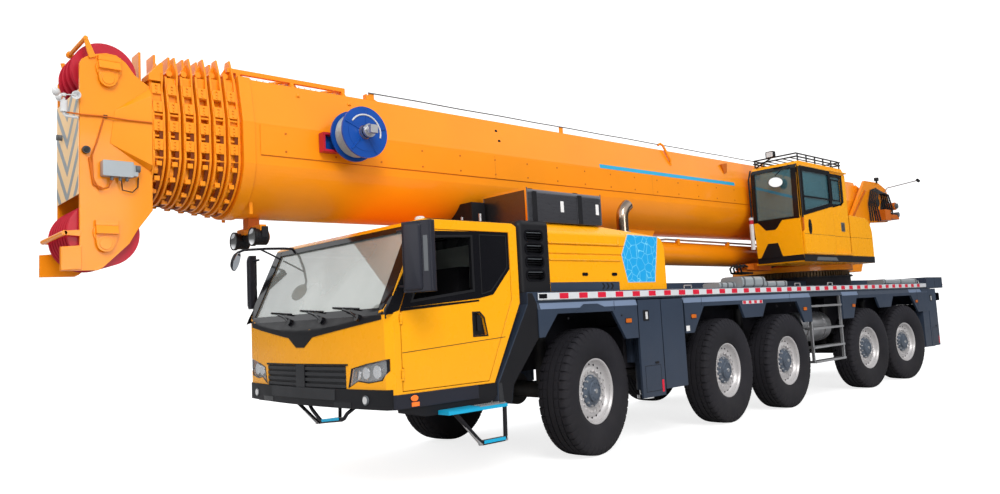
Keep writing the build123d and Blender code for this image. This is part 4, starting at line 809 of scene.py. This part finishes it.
exhaust = Form("exhaust_sleeve", "chassis", "warm_steel")
bend = [(1710 + a, 950, 2650 + b) for a, b in (on_circle(angle, 190) for angle in range(0, 56, 7))]
ahead, aside = on_circle(55, 70)
tip = (bend[-1][0] - aside, 950, bend[-1][2] + ahead)
exhaust.pipe([(1900, 950, 2475)] + bend + [tip], 74.5, 26)
exhaust.use("gloss_black").rod(tip, (tip[0] - 1.5, 950, tip[2] + 1.1), 66, 26)
exhaust.use("steel").rod((1900, 950, 2452), (1900, 950, 2490), 95, 26)
exhaust.make()

# ------------------------------------------------------------------ deck, skirts, outriggers
for side, sign in SIDES:
    tape = Form(f"deck_tape_{side}", "chassis", "tape_white", side=sign)
    tape.box((-6955, 3860), (1367.2, 1368.4), (1679, 1748))
    tape.use("tape_red")
    for i in range(34):
        tape.pad(near(3476 - 303.5 * i, 68), (1684, 1743), 6, (1367, 1369.2), steps=2)
    tape.use("gloss_black").pad((3728, 3846), (1690, 1737), 6, (1367, 1369.2), steps=2)
    tape.use("panel_grey").box((-6955, 3860), (1367.2, 1369), (1669, 1678))
    tape.use("tape_white").box((-565, -30), (1375.5, 1376.5), (1530, 1575))
    tape.use("tape_red")
    for x in (-80, -225, -370, -515):
        tape.box(near(x, 36), (1375.5, 1377), (1533, 1572))
    tape.make()

    skirt = Form(f"skirt_marks_{side}", "chassis", "slate_painted_highlight", side=sign)
    # The sloped strip along each skirt's top edge is a lighter slate: a painted highlight on the chamfer that
    # faces up.
    for span in ((3840, 2268), (1346, -2005), (-3125, -3740), (-6020, -6965)):
        skirt.prism(line(1375.2, 1581, 1376.2, 1581, 1355.5, 1644.5, 1354, 1644), span, "x")
    panel = (1365, 1810) if side == "left" else (1800, 2255)
    skirt.use("slate").pad(panel, (585, 1640), 10, (1366, 1372.5), steps=2)
    skirt.prism(line(3330, 1528, 3190, 1618, 2965, 1618, 2690, 1528), (1374, 1378.5))
    skirt.use("gloss_black")
    for x, low in ((2262, 1215), (1352, 1215), (-1360, 1500), (-3740, 1500), (955, 1540), (2680, 1540),
                   (-6400, 1215)):
        skirt.box(near(x, 2.5), (1374.8, 1375.6), (low, 1640))
    for x in (2447, 1155, -1798, -3518, -6338):
        skirt.use("black").pad(near(x, 56), (1382, 1442), 6, (1374.5, 1379), steps=2)
        skirt.use("rust_orange").pad(near(x, 48), (1389, 1435), 6, (1378, 1386), steps=2)
    skirt.use("white").box((1250, 1325), (1374.8, 1375.8), (1235, 1300))
    skirt.use("black")
    for x in (3440, 2560, -950, -1350, -3950, -6050):
        skirt.rod((x, 1372, 1475), (x, 1380, 1475), 12, 12)
    skirt.make()

    walk = Form(f"walkway_{side}", "chassis", "tread_plate", side=sign)
    for span in ((1540, -250), (-270, -2050), (-2070, -3100), (-5350, -6940)):
        walk.box(span, (660, 1345), (1758, 1760.8))
    walk.use("steel")
    for x in (1200, -600, -1700, -2800, -5700, -6600):
        walk.pipe(path(x, 1300, 1760, x, 1300, 1800, x - 160, 1300, 1800, x - 160, 1300, 1760), 8)
    for front, rear, wide, high in ((350, -60, 260, 75), (-100, -720, 340, 150), (-780, -1430, 300, 85),
                                    (-5020, -6620, 300, 85)):
        walk.use("box_grey").pad((1020, 1020 + wide), (1757, 1757 + high), high * 0.35, (rear, front), "x")
        walk.use("panel_grey")
        for x in (rear + 60, (rear + front) / 2, front - 60):
            walk.pad((1014, 1026 + wide), (1754, 1762 + high), high * 0.35, near(x, 16), "x")
    walk.make(bevel=3)

for name, x, sign in (("front_left", 2040, 1), ("front_right", 1570, -1), ("rear_left", -7200, 1),
                      ("rear_right", -7655, -1)):
    cover = Form(f"outrigger_cover_{name}", f"outrigger_beam_{name}", "black", side=sign)
    cover.rim_of(oblong(near(x, 150), (580, 880)), oblong(near(x, 145), (585, 875)), (1371.5, 1373.2))
    cover.pad((x - 115, x - 45), (893, 918), 6, (1371.5, 1376.5), steps=2)
    cover.pad((x + 20, x + 130), (1395, 1520), 10, (1371.5, 1375), steps=2)
    cover.use("pale").pad((x + 45, x + 85), (1415, 1500), 6, (1374.8, 1377), steps=2)
    cover.use("tape_red").box((x - 190, x - 150), (1371.5, 1372.8), (560, 700))
    cover.make()

rear = Form("rear_items", "chassis", "gloss_black")
for _ in rear.both():
    rear.use("gloss_black").box((-6978.5, -6973.5), (1367.2, 1369), (1220, 1860))
    rear.box((-7450, -7440), (1366.8, 1367.6), (1660, 1865))
    rear.pad((860, 1280), (1400, 1560), 20, (-7895, -7884), "x")
    rear.use("red_lamp").pad((1120, 1260), (1420, 1540), 20, (-7904, -7894), "x")
    rear.rod((-7885, 1330, 1720), (-7925, 1330, 1720), 30, 18)
    for finish, y in (("red_lamp", (1060, 1110)), ("amber", (980, 1050)), ("pale", (880, 970))):
        rear.use(finish).pad(y, (1420, 1540), 12, (-7901, -7894), "x")
    for finish, y in (("tape_red", 460), ("tape_red", 750), ("tape_red", 1040), ("tape_white", 605),
                      ("tape_white", 895)):
        rear.use(finish).box((-7887, -7884.5), (y, y + 140), (1780, 1830))
rear.use("white").box((-7888, -7884.5), (-220, 220), (1060, 1200))
rear.use("black").box((-7930, -7885), (-130, 130), (930, 960))
rear.rod((-7885, 0, 1000), (-7950, 0, 1000), 45, 20)
rear.make(bevel=2)

TEETH = 110
ring = Form("slew_teeth", "chassis", "gear_brown")
for i in range(TEETH):
    ring.place = spot(-4195, 0, 0, Z=360 * i / TEETH)
    ring.prism(line(957, -16, 988, -9, 988, 9, 957, 16), (1945, 2025), "z")
ring.place = spot(-4195, 0, 1925, X=90)
ring.use("iron").lathe(line(6, 900, 6, 1045, 16, 1045, 16, 900), 72, closed=True)
ring.studs(36, 1015, (16, 36), 14)
ring.make()

# ------------------------------------------------------------------ boom
BOOM = spot(6515, 0, 3160, Y=0.45)
BELLY_TOP, WALL_LEAN = 192, 0.196


def boom_side(z):
    """Half the boom's width at a height of its own frame, above the round belly."""
    return 500 - max(0, z - BELLY_TOP) * WALL_LEAN


for side, sign in SIDES:
    wall = Form(f"boom_side_plate_{side}", "boom_base", "yellow", BOOM, sign)
    wall.box((-12300, -160), (499, 507.5), (-92, 175))
    wall.box((-158, -128), (300, 310), (-600, 190))
    # The strip just under the side plate's lower edge is a painted shadow of the plate's lip, in dark orange.
    wall.use("rust_orange").box((-12300, -160), (499, 503.5), (-99, -92))
    for x in (-2950, -5900, -8850):
        wall.box(near(x, 1.5), (507, 508), (-90, 174))
    for i in range(24):
        for z in (-45, 120):
            wall.rod((-400 - 510 * i, 507, z), (-400 - 510 * i, 511, z), 11, 8)
    stripe = [(boom_side(z) + lift, z) for z, lift in ((193, 0.2), (193, 2), (246, 2), (246, 0.2))]
    wall.use("cyan").prism(stripe, (-8100, -4800), "x")
    wall.use("gloss_black")
    for x, z in ((-3050, 478), (-3070, 357)):
        wall.rod((x, boom_side(z) - 4, z), (x, boom_side(z) + 1.5, z), 20, 14)
    wall.use("yellow").prism(line(-1460, 600, -1330, 660, -1330, 600), (360, 420))
    wall.use("rust_orange").prism(line(-7800, 520, -7960, 550, -7940, 400, -7860, 370), (440, 475))
    wall.use("yellow").pipe(path(-6440, 455, 380, -6420, 475, 450, -6340, 455, 600, -6310, 440, 665,
                                 -6270, 425, 690, -6220, 420, 665), 18)
    cable = enumerate(across(-1360, -12100, 18))
    wall.use("panel_grey").pipe([(x, 415, 679 if i % 2 else 675) for i, x in cable], 7, 8)
    wall.use("yellow")
    for x in (-1400, -4200, -9200, -12000):
        wall.box(near(x, 30), (395, 410), (590, 684))
    wall.make()

reel = Form("hose_reel", "boom_base", "blue", BOOM @ spot(-1030, 0, 140))
for low in (627.5, 823):
    reel.lathe(line(low, 172, low, 243, low + 18.5, 243, low + 18.5, 172), 56, closed=True)
reel.lathe(line(840.5, 66, 840.5, 180, 844.5, 180, 844.5, 66), 40, closed=True)
reel.use("box_grey")
for k in range(7):
    reel.lathe(oval(658.5 + 24.7 * k, 196, 11.5, 8), 56, closed=True)
reel.use("blue")
for i in range(5):
    a, b = on_circle(72 * i + math.degrees(0.4))
    reel.pipe([(a * r, 844, b * r) for r in (70, 150, 225)], 8, 6)
reel.use("pale").pipe([(165 * math.cos(a), 847.5, 165 * math.sin(a)) for a in across(0.6, 3.4, 14)], 8, 8)
reel.use("steel").rod((0, 838, 0), (0, 925, 0), 63, 24)
reel.rod((0, 925, 0), (0, 955, 0), 46, 20)
reel.box((-38, 38), (955, 1000), (-38, 38))
reel.use("gloss_black").rod((0, 884, 0), (0, 898, 0), 65.5, 24)
reel.use("red").rim_of(oblong((130, 300), (-160, 20)), oblong((150, 280), (-140, 0)), (515, 600))
reel.use("blue").box((155, 275), (520, 545), (-135, -5))
reel.make()

spots = Form("boom_lamps", "boom_base", "black", BOOM)
for y in (-200, 200):
    spots.place = BOOM @ spot(0, y, -790, Z=-90)
    spots.use("black").lathe(line(-345, 0, -345, 45, -325, 74, -222, 76, -215, 86, -190, 86, -190, 74,
                                  -212, 70, -212, 0), 36)
    spots.use("chrome").lathe(line(-211.5, 0, -211.5, 67, -193, 73.5, -208.5, 20, -206, 0), 32)
    spots.place = BOOM
    for arm in (y - 83, y + 83):
        spots.use("black").box((-310, -250), near(arm, 5), (-800, -700))
spots.use("rust_orange").box((-335, -225), (-56, 56), (-700, -600))
spots.make()

top_frame = Form("top_frame_braces", "boom_base", "yellow", BOOM)
for start, end in ((-1110, -560), (-560, -40)):
    for y in (-330, 330):
        top_frame.pipe(((start, y, 680), (end, -y, 680)), 14)
for x in (-1110, -560):
    for _ in top_frame.both():
        top_frame.pipe(((x, 330, 660), (x - 10, 440, 500)), 18)
top_frame.use("steel")
for i in range(18):
    top_frame.box(near(60 * i - 1080, 2), (-310, 310), (645, 649))
top_frame.make()

# The collars: each section stands 15 mm inside the one before, and its collar 120 mm further forward.
for k in range(2, 8):
    rim, front = 15 * (k - 1), 120 * (k - 2) + 18
    half, high = 500 - rim, 600 - rim
    collar = Form(f"collar_detail_{k}", f"boom_section_{k}", "yellow", BOOM)
    for sign in collar.both():
        if k == 7:
            collar.prism(line(front, high - 40, front + 115, high - 40, front + 115, high + 10,
                              front + 20, high + 120, front, high + 120), (200, 380))
        top = high + (185 if sign > 0 and k < 7 else 75)
        collar.prism(line(205, high - 100, 205, high + 75, 245, top, 330, top, 395, high + 30,
                          455 - rim, high - 160, 425 - rim, high - 160, 360 - rim, high - 20),
                     (front + 4, front + 19), "x")
        collar.prism(line(front + 19, high - 20, front + 104, high - 20, front + 104, high + 10,
                          front + 24, high + 140, front + 19, high + 140), (272, 284))
        collar.rod((front + 62, 215, high + 30), (front + 62, 355, high + 30), 26)
        for z in (405, 245, 85, -75):
            y = boom_side(z) - rim
            lean = 30 * WALL_LEAN if z > BELLY_TOP else 0
            collar.prism(line(y - 6 + lean, z - 46, y + 12 + lean, z - 46, y + 12 - lean, z + 46,
                              y - 6 - lean, z + 46), (front + 22, front + 94), "x")
            for up in (-28, 0, 28):
                collar.rod((front + 58, y, z + up), (front + 58, y + 21, z + up), 9, 6)
        for angle in (18, 36, 54, 72):
            a, b = on_circle(angle)
            collar.box(near(front + 52, 22), near(half * a, 16), near(-100 - (high - 100) * b, 20))
    curve = [on_circle(angle) for angle in range(6, 91, 6)]
    outer = line(half + 1, 120, half + 1, -100) + [(half * a + 1, -101 - (high - 100) * b) for a, b in curve]
    # A thin dark reddish-brown band that follows the section's outline beside the collar's flange: painted
    # shade of the deep slot there.
    collar.use("painted_gap_shade")
    for _ in collar.both():
        collar.prism(outer + [(y - 6, z + 6) for y, z in reversed(outer)], (front + 20, front + 50), "x")
    collar.make(bevel=2)

# ------------------------------------------------------------------ boom head
PANEL_FOOT, PANEL_TOP = 2642, 3468


def on_panel(z):
    return max(PANEL_FOOT, min(PANEL_TOP, z))


head = Form("head_panel", "boom_section_7", "sign_pale")
head.pad((-335, 335), (2640, 3470), 6, (7755.5, 7760), "x", steps=2)
head.use("box_grey")
for foot in across(2380, 3280, 4):
    chevron = [(y, on_panel(foot + y), on_panel(foot + y + 80)) for y in across(0, 333, 12)]
    for _ in head.both():
        for (y0, a0, b0), (y1, a1, b1) in zip(chevron, chevron[1:]):
            if b0 - a0 > 2 and b1 - a1 > 2:
                head.prism(line(y0, a0, y1, a1, y1, b1, y0, b0), (7760, 7761.2), "x")
head.make()

trim = Form("head_trim", "boom_section_7", "yellow")
for _ in trim.both():
    trim.loft([path(7540, 350, 3060, 7540, 352, 3060, 7505, 352, 3330, 7505, 350, 3330),
               path(7236, 350, 2860, 7236, 408, 2900, 7236, 408, 3480, 7236, 350, 3560)])
    for x, z in ((7548, 3665), (7570, 2345)):
        trim.prism(line(366, z + 54, 388, z + 54, 408, z - 2, 408, z - 14, 366, z - 14), near(x, 80), "x")
        trim.rod((x + 10, 366, z - 90), (x + 10, 386, z - 90), 64, 28)
        trim.pad((x - 66, x + 78), (z - 110, z + 10), 30, (366, 379))
        trim.rod((x + 10, 386, z - 90), (x + 10, 391, z - 90), 46, 24)
    trim.prism(line(7640, 3745, 7700, 3885, 7730, 3878, 7690, 3725), (352, 366))
    trim.prism(line(7745, 2312, 7852, 2318, 7862, 2350, 7745, 2362), (340, 352))
    trim.prism(line(7745, 2060, 7883, 2050, 7883, 2226, 7745, 2240), (350, 362))
trim.rod((7715, -130, 3884), (7715, 368, 3884), 17)
trim.rod((7715, -100, 3884), (7715, -130, 3884), 28)
trim.rod((7858, -352, 2335), (7858, 352, 2335), 20)
trim.use("box_grey").pad((7384, 7611), (2785, 2910), 10, (352.5, 425), steps=2)
trim.pad((7345, 7384), (2800, 2890), 8, (352.5, 405), steps=2)
trim.use("panel_grey").rod((7365, 390, 2862), (7330, 390, 2862), 30, 18)
for x in (7430, 7480, 7540):
    trim.rod((x, 400, 2785), (x, 400, 2755), 12, 10)
trim.use("rust_orange").pipe(path(7540, 400, 2760, 7560, 385, 2700, 7620, 372, 2680, 7665, 365, 2760,
                                  7672, 362, 2950, 7640, 360, 3050, 7585, 358, 3260), 6)
trim.use("hose").pipe(path(7470, 400, 2760, 7460, 385, 2685, 7380, 372, 2675, 7340, 370, 2720,
                           7335, 370, 2800), 5)
trim.use("rust_orange").pipe(path(7845, 350, 3268, 7740, 362, 3262, 7600, 360, 3270, 7420, 385, 3258,
                                  7240, 418, 3252), 7)
trim.pipe(path(7690, 360, 2930, 7660, 362, 2720, 7600, 362, 2690), 10)
trim.use("gloss_black").rod((7713, 350, 2987), (7713, 378, 2987), 30, 20)
trim.use("iron").rod((7713, 378, 2987), (7713, 386, 2987), 20)
trim.use("gloss_black").box((7560, 7590), (351, 366), (3258, 3283))
trim.make(bevel=1.5)

gauge = Form("wind_gauge", "boom_section_7", "pale")
gauge.pipe(path(7762, 340, 3240, 7850, 345, 3240, 7862, 346, 3252, 7862, 346, 3380), 10)
gauge.rod((7862, 346, 3270), (7862, 346, 3360), 26, 18)
gauge.rod((7862, 346, 3395), (7862, 346, 3415), 16, 14)
for k in range(3):
    turn = 120 * k + math.degrees(0.6)
    a, b = on_circle(turn, 85)
    tip = (7862 + a, 346 + b, 3406)
    gauge.place = Matrix()
    gauge.pipe(((7862, 346, 3406), tip), 4, 6)
    gauge.place = spot(*tip, Z=turn)
    gauge.lathe([on_circle(angle, 34) for angle in range(0, 91, 15)] + [(0, 30), (28, 3)], 18)
gauge.place = Matrix()
gauge.use("panel_grey").rod((7800, -170, 3185), (7758, -170, 3185), 24)
gauge.make()

# ------------------------------------------------------------------ luffing cylinder
FOOT, EYE = (-4250, 0, 2330), (620, 0, 2360)
rise = math.degrees(math.atan2(EYE[2] - FOOT[2], EYE[0] - FOOT[0]))
barrel = Form("luff_barrel_trim", "luff_barrel", "yellow", spot(*FOOT, Y=-rise))
barrel.studs(14, 160, (4449, 4470), 14, axis="x")
barrel.use("steel").pipe(path(250, 120, 190, 450, 120, 198, 4100, 120, 198, 4300, 110, 180), 15)
barrel.use("yellow")
for x in (900, 2400, 3800):
    barrel.box(near(x, 30), (95, 145), (120, 215))
barrel.make()

# ------------------------------------------------------------------ operator's cab
OP_FRONT = line(-1910, 2150, -1860, 2850, -1875, 3590, -1970, 3700)


def op_x(_, z):
    """How far forward the operator's cab stands at a height."""
    return outline_x(OP_FRONT, z)


op = Form("operator_front_trim", "superstructure", "gloss_black")
for y in ((624, 690), (1300, 1388)):
    band(op, y, (2800, 3650), 4, 10, 3, 12, op_x)
op.prism(line(-1868, 2850, -1874, 3590, -1925, 3640, -1925, 2790), (1388, 1394.5))
op.skin([[(y, z) for y in across(624, 1386, 8)] for z in (3585, 3600, 3650)], op_x, 4, 10)
low_edge = []
for y in across(624, 1386, 24):
    far = abs(y - 900)
    foot = 2800 if far > 200 else 2665 + max(0, far - 85) * 1.17
    low_edge.append([(y, foot + (2832 - foot) * t) for t in (0, 0.5, 1)])
op.skin(low_edge, op_x, 4, 10)
badge = [[(665 + 157 * t, 2215 + 240 * t), (1053 - 63 * t, 2215 + 240 * t)] for t in across(0, 1, 3)]
op.use("black").skin(badge, op_x, 4, 10)
band(op, (622, 1388), (2150, 2240), 4, 10, 1, 1, op_x)
op.box((-4535, -1905), (1389.5, 1394), (2131, 2240))
op.box((-4534.5, -4530), (622, 1390), (2131, 2226))
op.use("panel_grey").prism(line(-2300, 2150, -2340, 2205, -3000, 2205, -3060, 2150), (1394, 1398))
op.use("gloss_black").rim_of(line(-2950, 3005, -2950, 3590, -3470, 3590, -3470, 3140),
                             line(-2975, 3085, -2975, 3540, -3385, 3540, -3385, 3090), (1389, 1394))
op.rim_of(oblong((-3050, -3360), (3140, 3500)), oblong((-3070, -3340), (3160, 3480)), (1386, 1392))
op.box((-4520, -3020), (1389.5, 1390.5), (2551, 2556))
op.box((-3622, -3618), (1389.5, 1390.5), (2230, 2920))
op.use("panel_grey").pad((-3425, -3295), (2640, 2790), 10, (1389, 1396), steps=2)
op.use("gloss_black")
for z in across(2655, 2760, 5):
    op.box((-3415, -3305), (1395.5, 1397.5), (z, z + 8))
op.use("rust_orange").pipe(path(-1915, 1400, 2600, -1895, 1425, 2625, -1885, 1430, 2800), 13)
op.use("black").pipe(path(-1885, 1430, 2800, -1880, 1432, 3450, -1905, 1415, 3600), 13)
op.pipe(path(-1885, 618, 2550, -1850, 600, 2600, -1840, 600, 3500, -1900, 610, 3660), 13)
op.use("pale").rod((-1850, 585, 2385), (-1850, 585, 2900), 34)
op.use("red").rod((-1850, 585, 2795), (-1850, 585, 2860), 35)
op.make()

rack = Form("operator_roof_rack", "superstructure", "trim_grey")
for z in (3770, 3820):
    rack.pipe(path(-1960, 650, z, -1960, 1370, z, -3500, 1370, z, -3500, 650, z, -1960, 650, z), 12)
for x in across(-2000, -3460, 5):
    for y in (650, 1370):
        rack.pipe(((x, y, 3690), (x, y, 3820)), 12)
for y in across(760, 1260, 4):
    rack.pipe(((-1960, y, 3770), (-3500, y, 3770)), 8)
rack.use("black").pipe(path(-1940, 700, 3700, -1930, 950, 3800, -1920, 985, 3820), 12)
rack.pad((915, 1055), (3805, 3910), 18, (-1925, -1865), "x")
rack.use("pale").pad((930, 1040), (3818, 3897), 14, (-1866, -1860), "x")
rack.make()

op_mirror = Form("operator_mirror", "superstructure", "black")
op_mirror.pipe(path(-1880, 1270, 3640, -1800, 1210, 3590, -1760, 1100, 3490), 9)
op_mirror.place = spot(-1760, 1100, 3385, Z=-56, X=8)
op_mirror.dish(1.25, 0.95, ((-35, 0.4), (-26, 0.8), (0, 1), (6, 1)))
# The mirror's glass is plain white: a painted reflection of the bright sky.
op_mirror.use("white").dish(1.25, 0.95, ((5, 0.95), (10, 0.9)))
op_mirror.make()

slider = Form("operator_door_trim", "operator_door", "gloss_black")
window = line(-1960, 2880, -1960, 3560, -2900, 3560, -2900, 3060)
slider.rim_of(line(-1912, 2832, -1912, 3612, -2948, 3612, -2948, 3028), window, (1424.5, 1431))
slider.rim_of(window, line(-1985, 2915, -1985, 3535, -2875, 3535, -2875, 3080), (1400, 1432.5))
slider.box((-2885, -1975), (1402, 1430), (3125, 3150))
slider.use("op_glass").prism(line(-1975, 2900, -1975, 3545, -2885, 3545, -2885, 3072), (1405, 1410))
grip = oval(-2105, 2668, 105, 28, 0.42)
slider.use("gloss_black").prism(grip, (1424.5, 1428.5))
slider.use("black").rim_of(oval(-2105, 2668, 113, 28, 0.48, 1.04), grip, (1424.5, 1432))
slider.box((-2115, -2095), (1426, 1436), (2600, 2736))
slider.box((-2950, -1906), (1425.5, 1426.2), (2551, 2556))
slider.make()

inside = Form("operator_seat", "superstructure", "seat")
inside.pad((-3130, -2660), (2640, 2730), 35, (760, 1250))
inside.prism(line(-3140, 2720, -3060, 2720, -3180, 3360, -3270, 3380, -3300, 3340), (780, 1230))
inside.pad((-3300, -3200), (3380, 3520), 30, (880, 1130))
inside.use("black")
for y in (790, 1200):
    inside.box((-3050, -2680), near(y, 35), (2850, 2910))
    inside.rod((-2750, y, 2900), (-2730, y, 3020), 16, 12)
    inside.rod((-2730, y, 3010), (-2730, y, 3060), 24, 12)
inside.prism(line(-2020, 2515, -2330, 2515, -2300, 2900, -2160, 3020, -2080, 3000), (720, 900))
console = line(-2325, 2800, -2315, 2920, -2180, 3020, -2200, 3030, -2335, 2930)
inside.use("panel_grey").prism(console, (740, 880))
inside.make(bevel=6)

# ------------------------------------------------------------------ turntable and winch
fittings = Form("superstructure_fittings", "superstructure", "iron")
for _ in fittings.both():
    fittings.place = spot(-6885, 585, 3460)
    fittings.use("yellow").lathe(line(-20, 0, -20, 170, 14, 170, 26, 155, 26, 0), 36)
    fittings.place = spot(-7350, 585, 3330)
    fittings.use("iron").lathe(line(-10, 90, -10, 235, 16, 235, 20, 215, 20, 90), 40, closed=True)
    fittings.studs(16, 205, (18, 36), 12)
    fittings.place = Matrix()
    fittings.use("rust_orange").prism(line(-5300, 2735, -5240, 2745, -6380, 3690, -6440, 3680), (584, 600))
    fittings.use("trim_grey").rod((-6945, 600, 3475), (-6945, 616, 3475), 90, 28)
fittings.use("rust_orange").box((-7660, -7100), (600, 745), (3135, 3225))
fittings.box((-7100, -6820), (600, 790), (3080, 3300))
fittings.rod((-7420, 600, 3400), (-7420, 780, 3400), 80, 24)
fittings.use("panel_grey").rod((-7420, 780, 3400), (-7420, 820, 3400), 56, 24)
fittings.rod((-7620, 620, 3240), (-7620, 760, 3240), 52, 20)
fittings.use("hose")
for k in range(5):
    y = 615 + 35 * k
    fittings.pipe(path(-6520 - 30 * k, y, 3060, -6490, y, 3420, -6640, y, 3700 - 20 * k,
                       -6900, y, 3760 - 30 * k, -7150, y, 3620, -7220 - 20 * k, y, 3360,
                       -7280, y, 3220), 16)
fittings.use("rust_orange").box((-2420, -2020), (340, 560), (2060, 2180))
fittings.box((-1980, -1740), (300, 500), (2075, 2165))
fittings.use("hose")
for k in range(4):
    y = 330 + 62 * k
    fittings.pipe(path(-3100, y, 2200, -2700, y, 2100 + 20 * k, -2420, y, 2120), 18)
    fittings.pipe(path(-1740, y, 2120, -1620, y, 2150, -1560, y - 20, 2100, -1620, y - 40, 2030,
                       -1950, y - 40, 2020), 16)
fittings.use("black").pipe(path(-7020, 600, 3880, -7020, 600, 3930), 18)
fittings.rod((-7020, 600, 3930), (-7020, 600, 3990), 45, 20)
fittings.use("pale").rod((-7020, 600, 3990), (-7020, 600, 4000), 40, 20)
fittings.use("steel").pipe(path(-7385, 600, 3700, -7385, 660, 3800, -7385, 1270, 3862), 12)
fittings.use("black").rod((-7360, 1270, 3868), (-7440, 1270, 3850), 30)
fittings.place = spot(-4195, 0, 0)
fittings.use("yellow").studs(40, 1010, (2130, 2152), 17, axis="z")
fittings.make()

rope = Form("winch_rope", "winch_drum", "steel", spot(-7350, 0, 3330))
for k in range(36):
    rope.lathe(oval(26.2 * k - 458, 181.5, 12, 6), 48, closed=True)
rope.make()

# ------------------------------------------------------------------ floor
bpy.ops.mesh.primitive_plane_add(size=120, location=(0, 0, 0))
floor = bpy.context.object
floor.name = "floor"
paint = finish_of("floor_pale", (0.5, 0.5, 0.5), 0.9, vary=0.01, scale=0.2, bump=0)
tree = paint.node_tree
# The camera sees the floor almost white, and the crane isn't lit by it.
glow = {0: node(tree, "LightPath").outputs["Is Camera Ray"], 1: 0.8}
set_inputs(tree, tree.nodes["Principled BSDF"], {
    "Specular IOR Level": 0.1, "Emission Color": (1, 1, 1, 1),
    "Emission Strength": node(tree, "Math", glow, operation="MULTIPLY").outputs[0]})
floor.data.materials.append(paint)
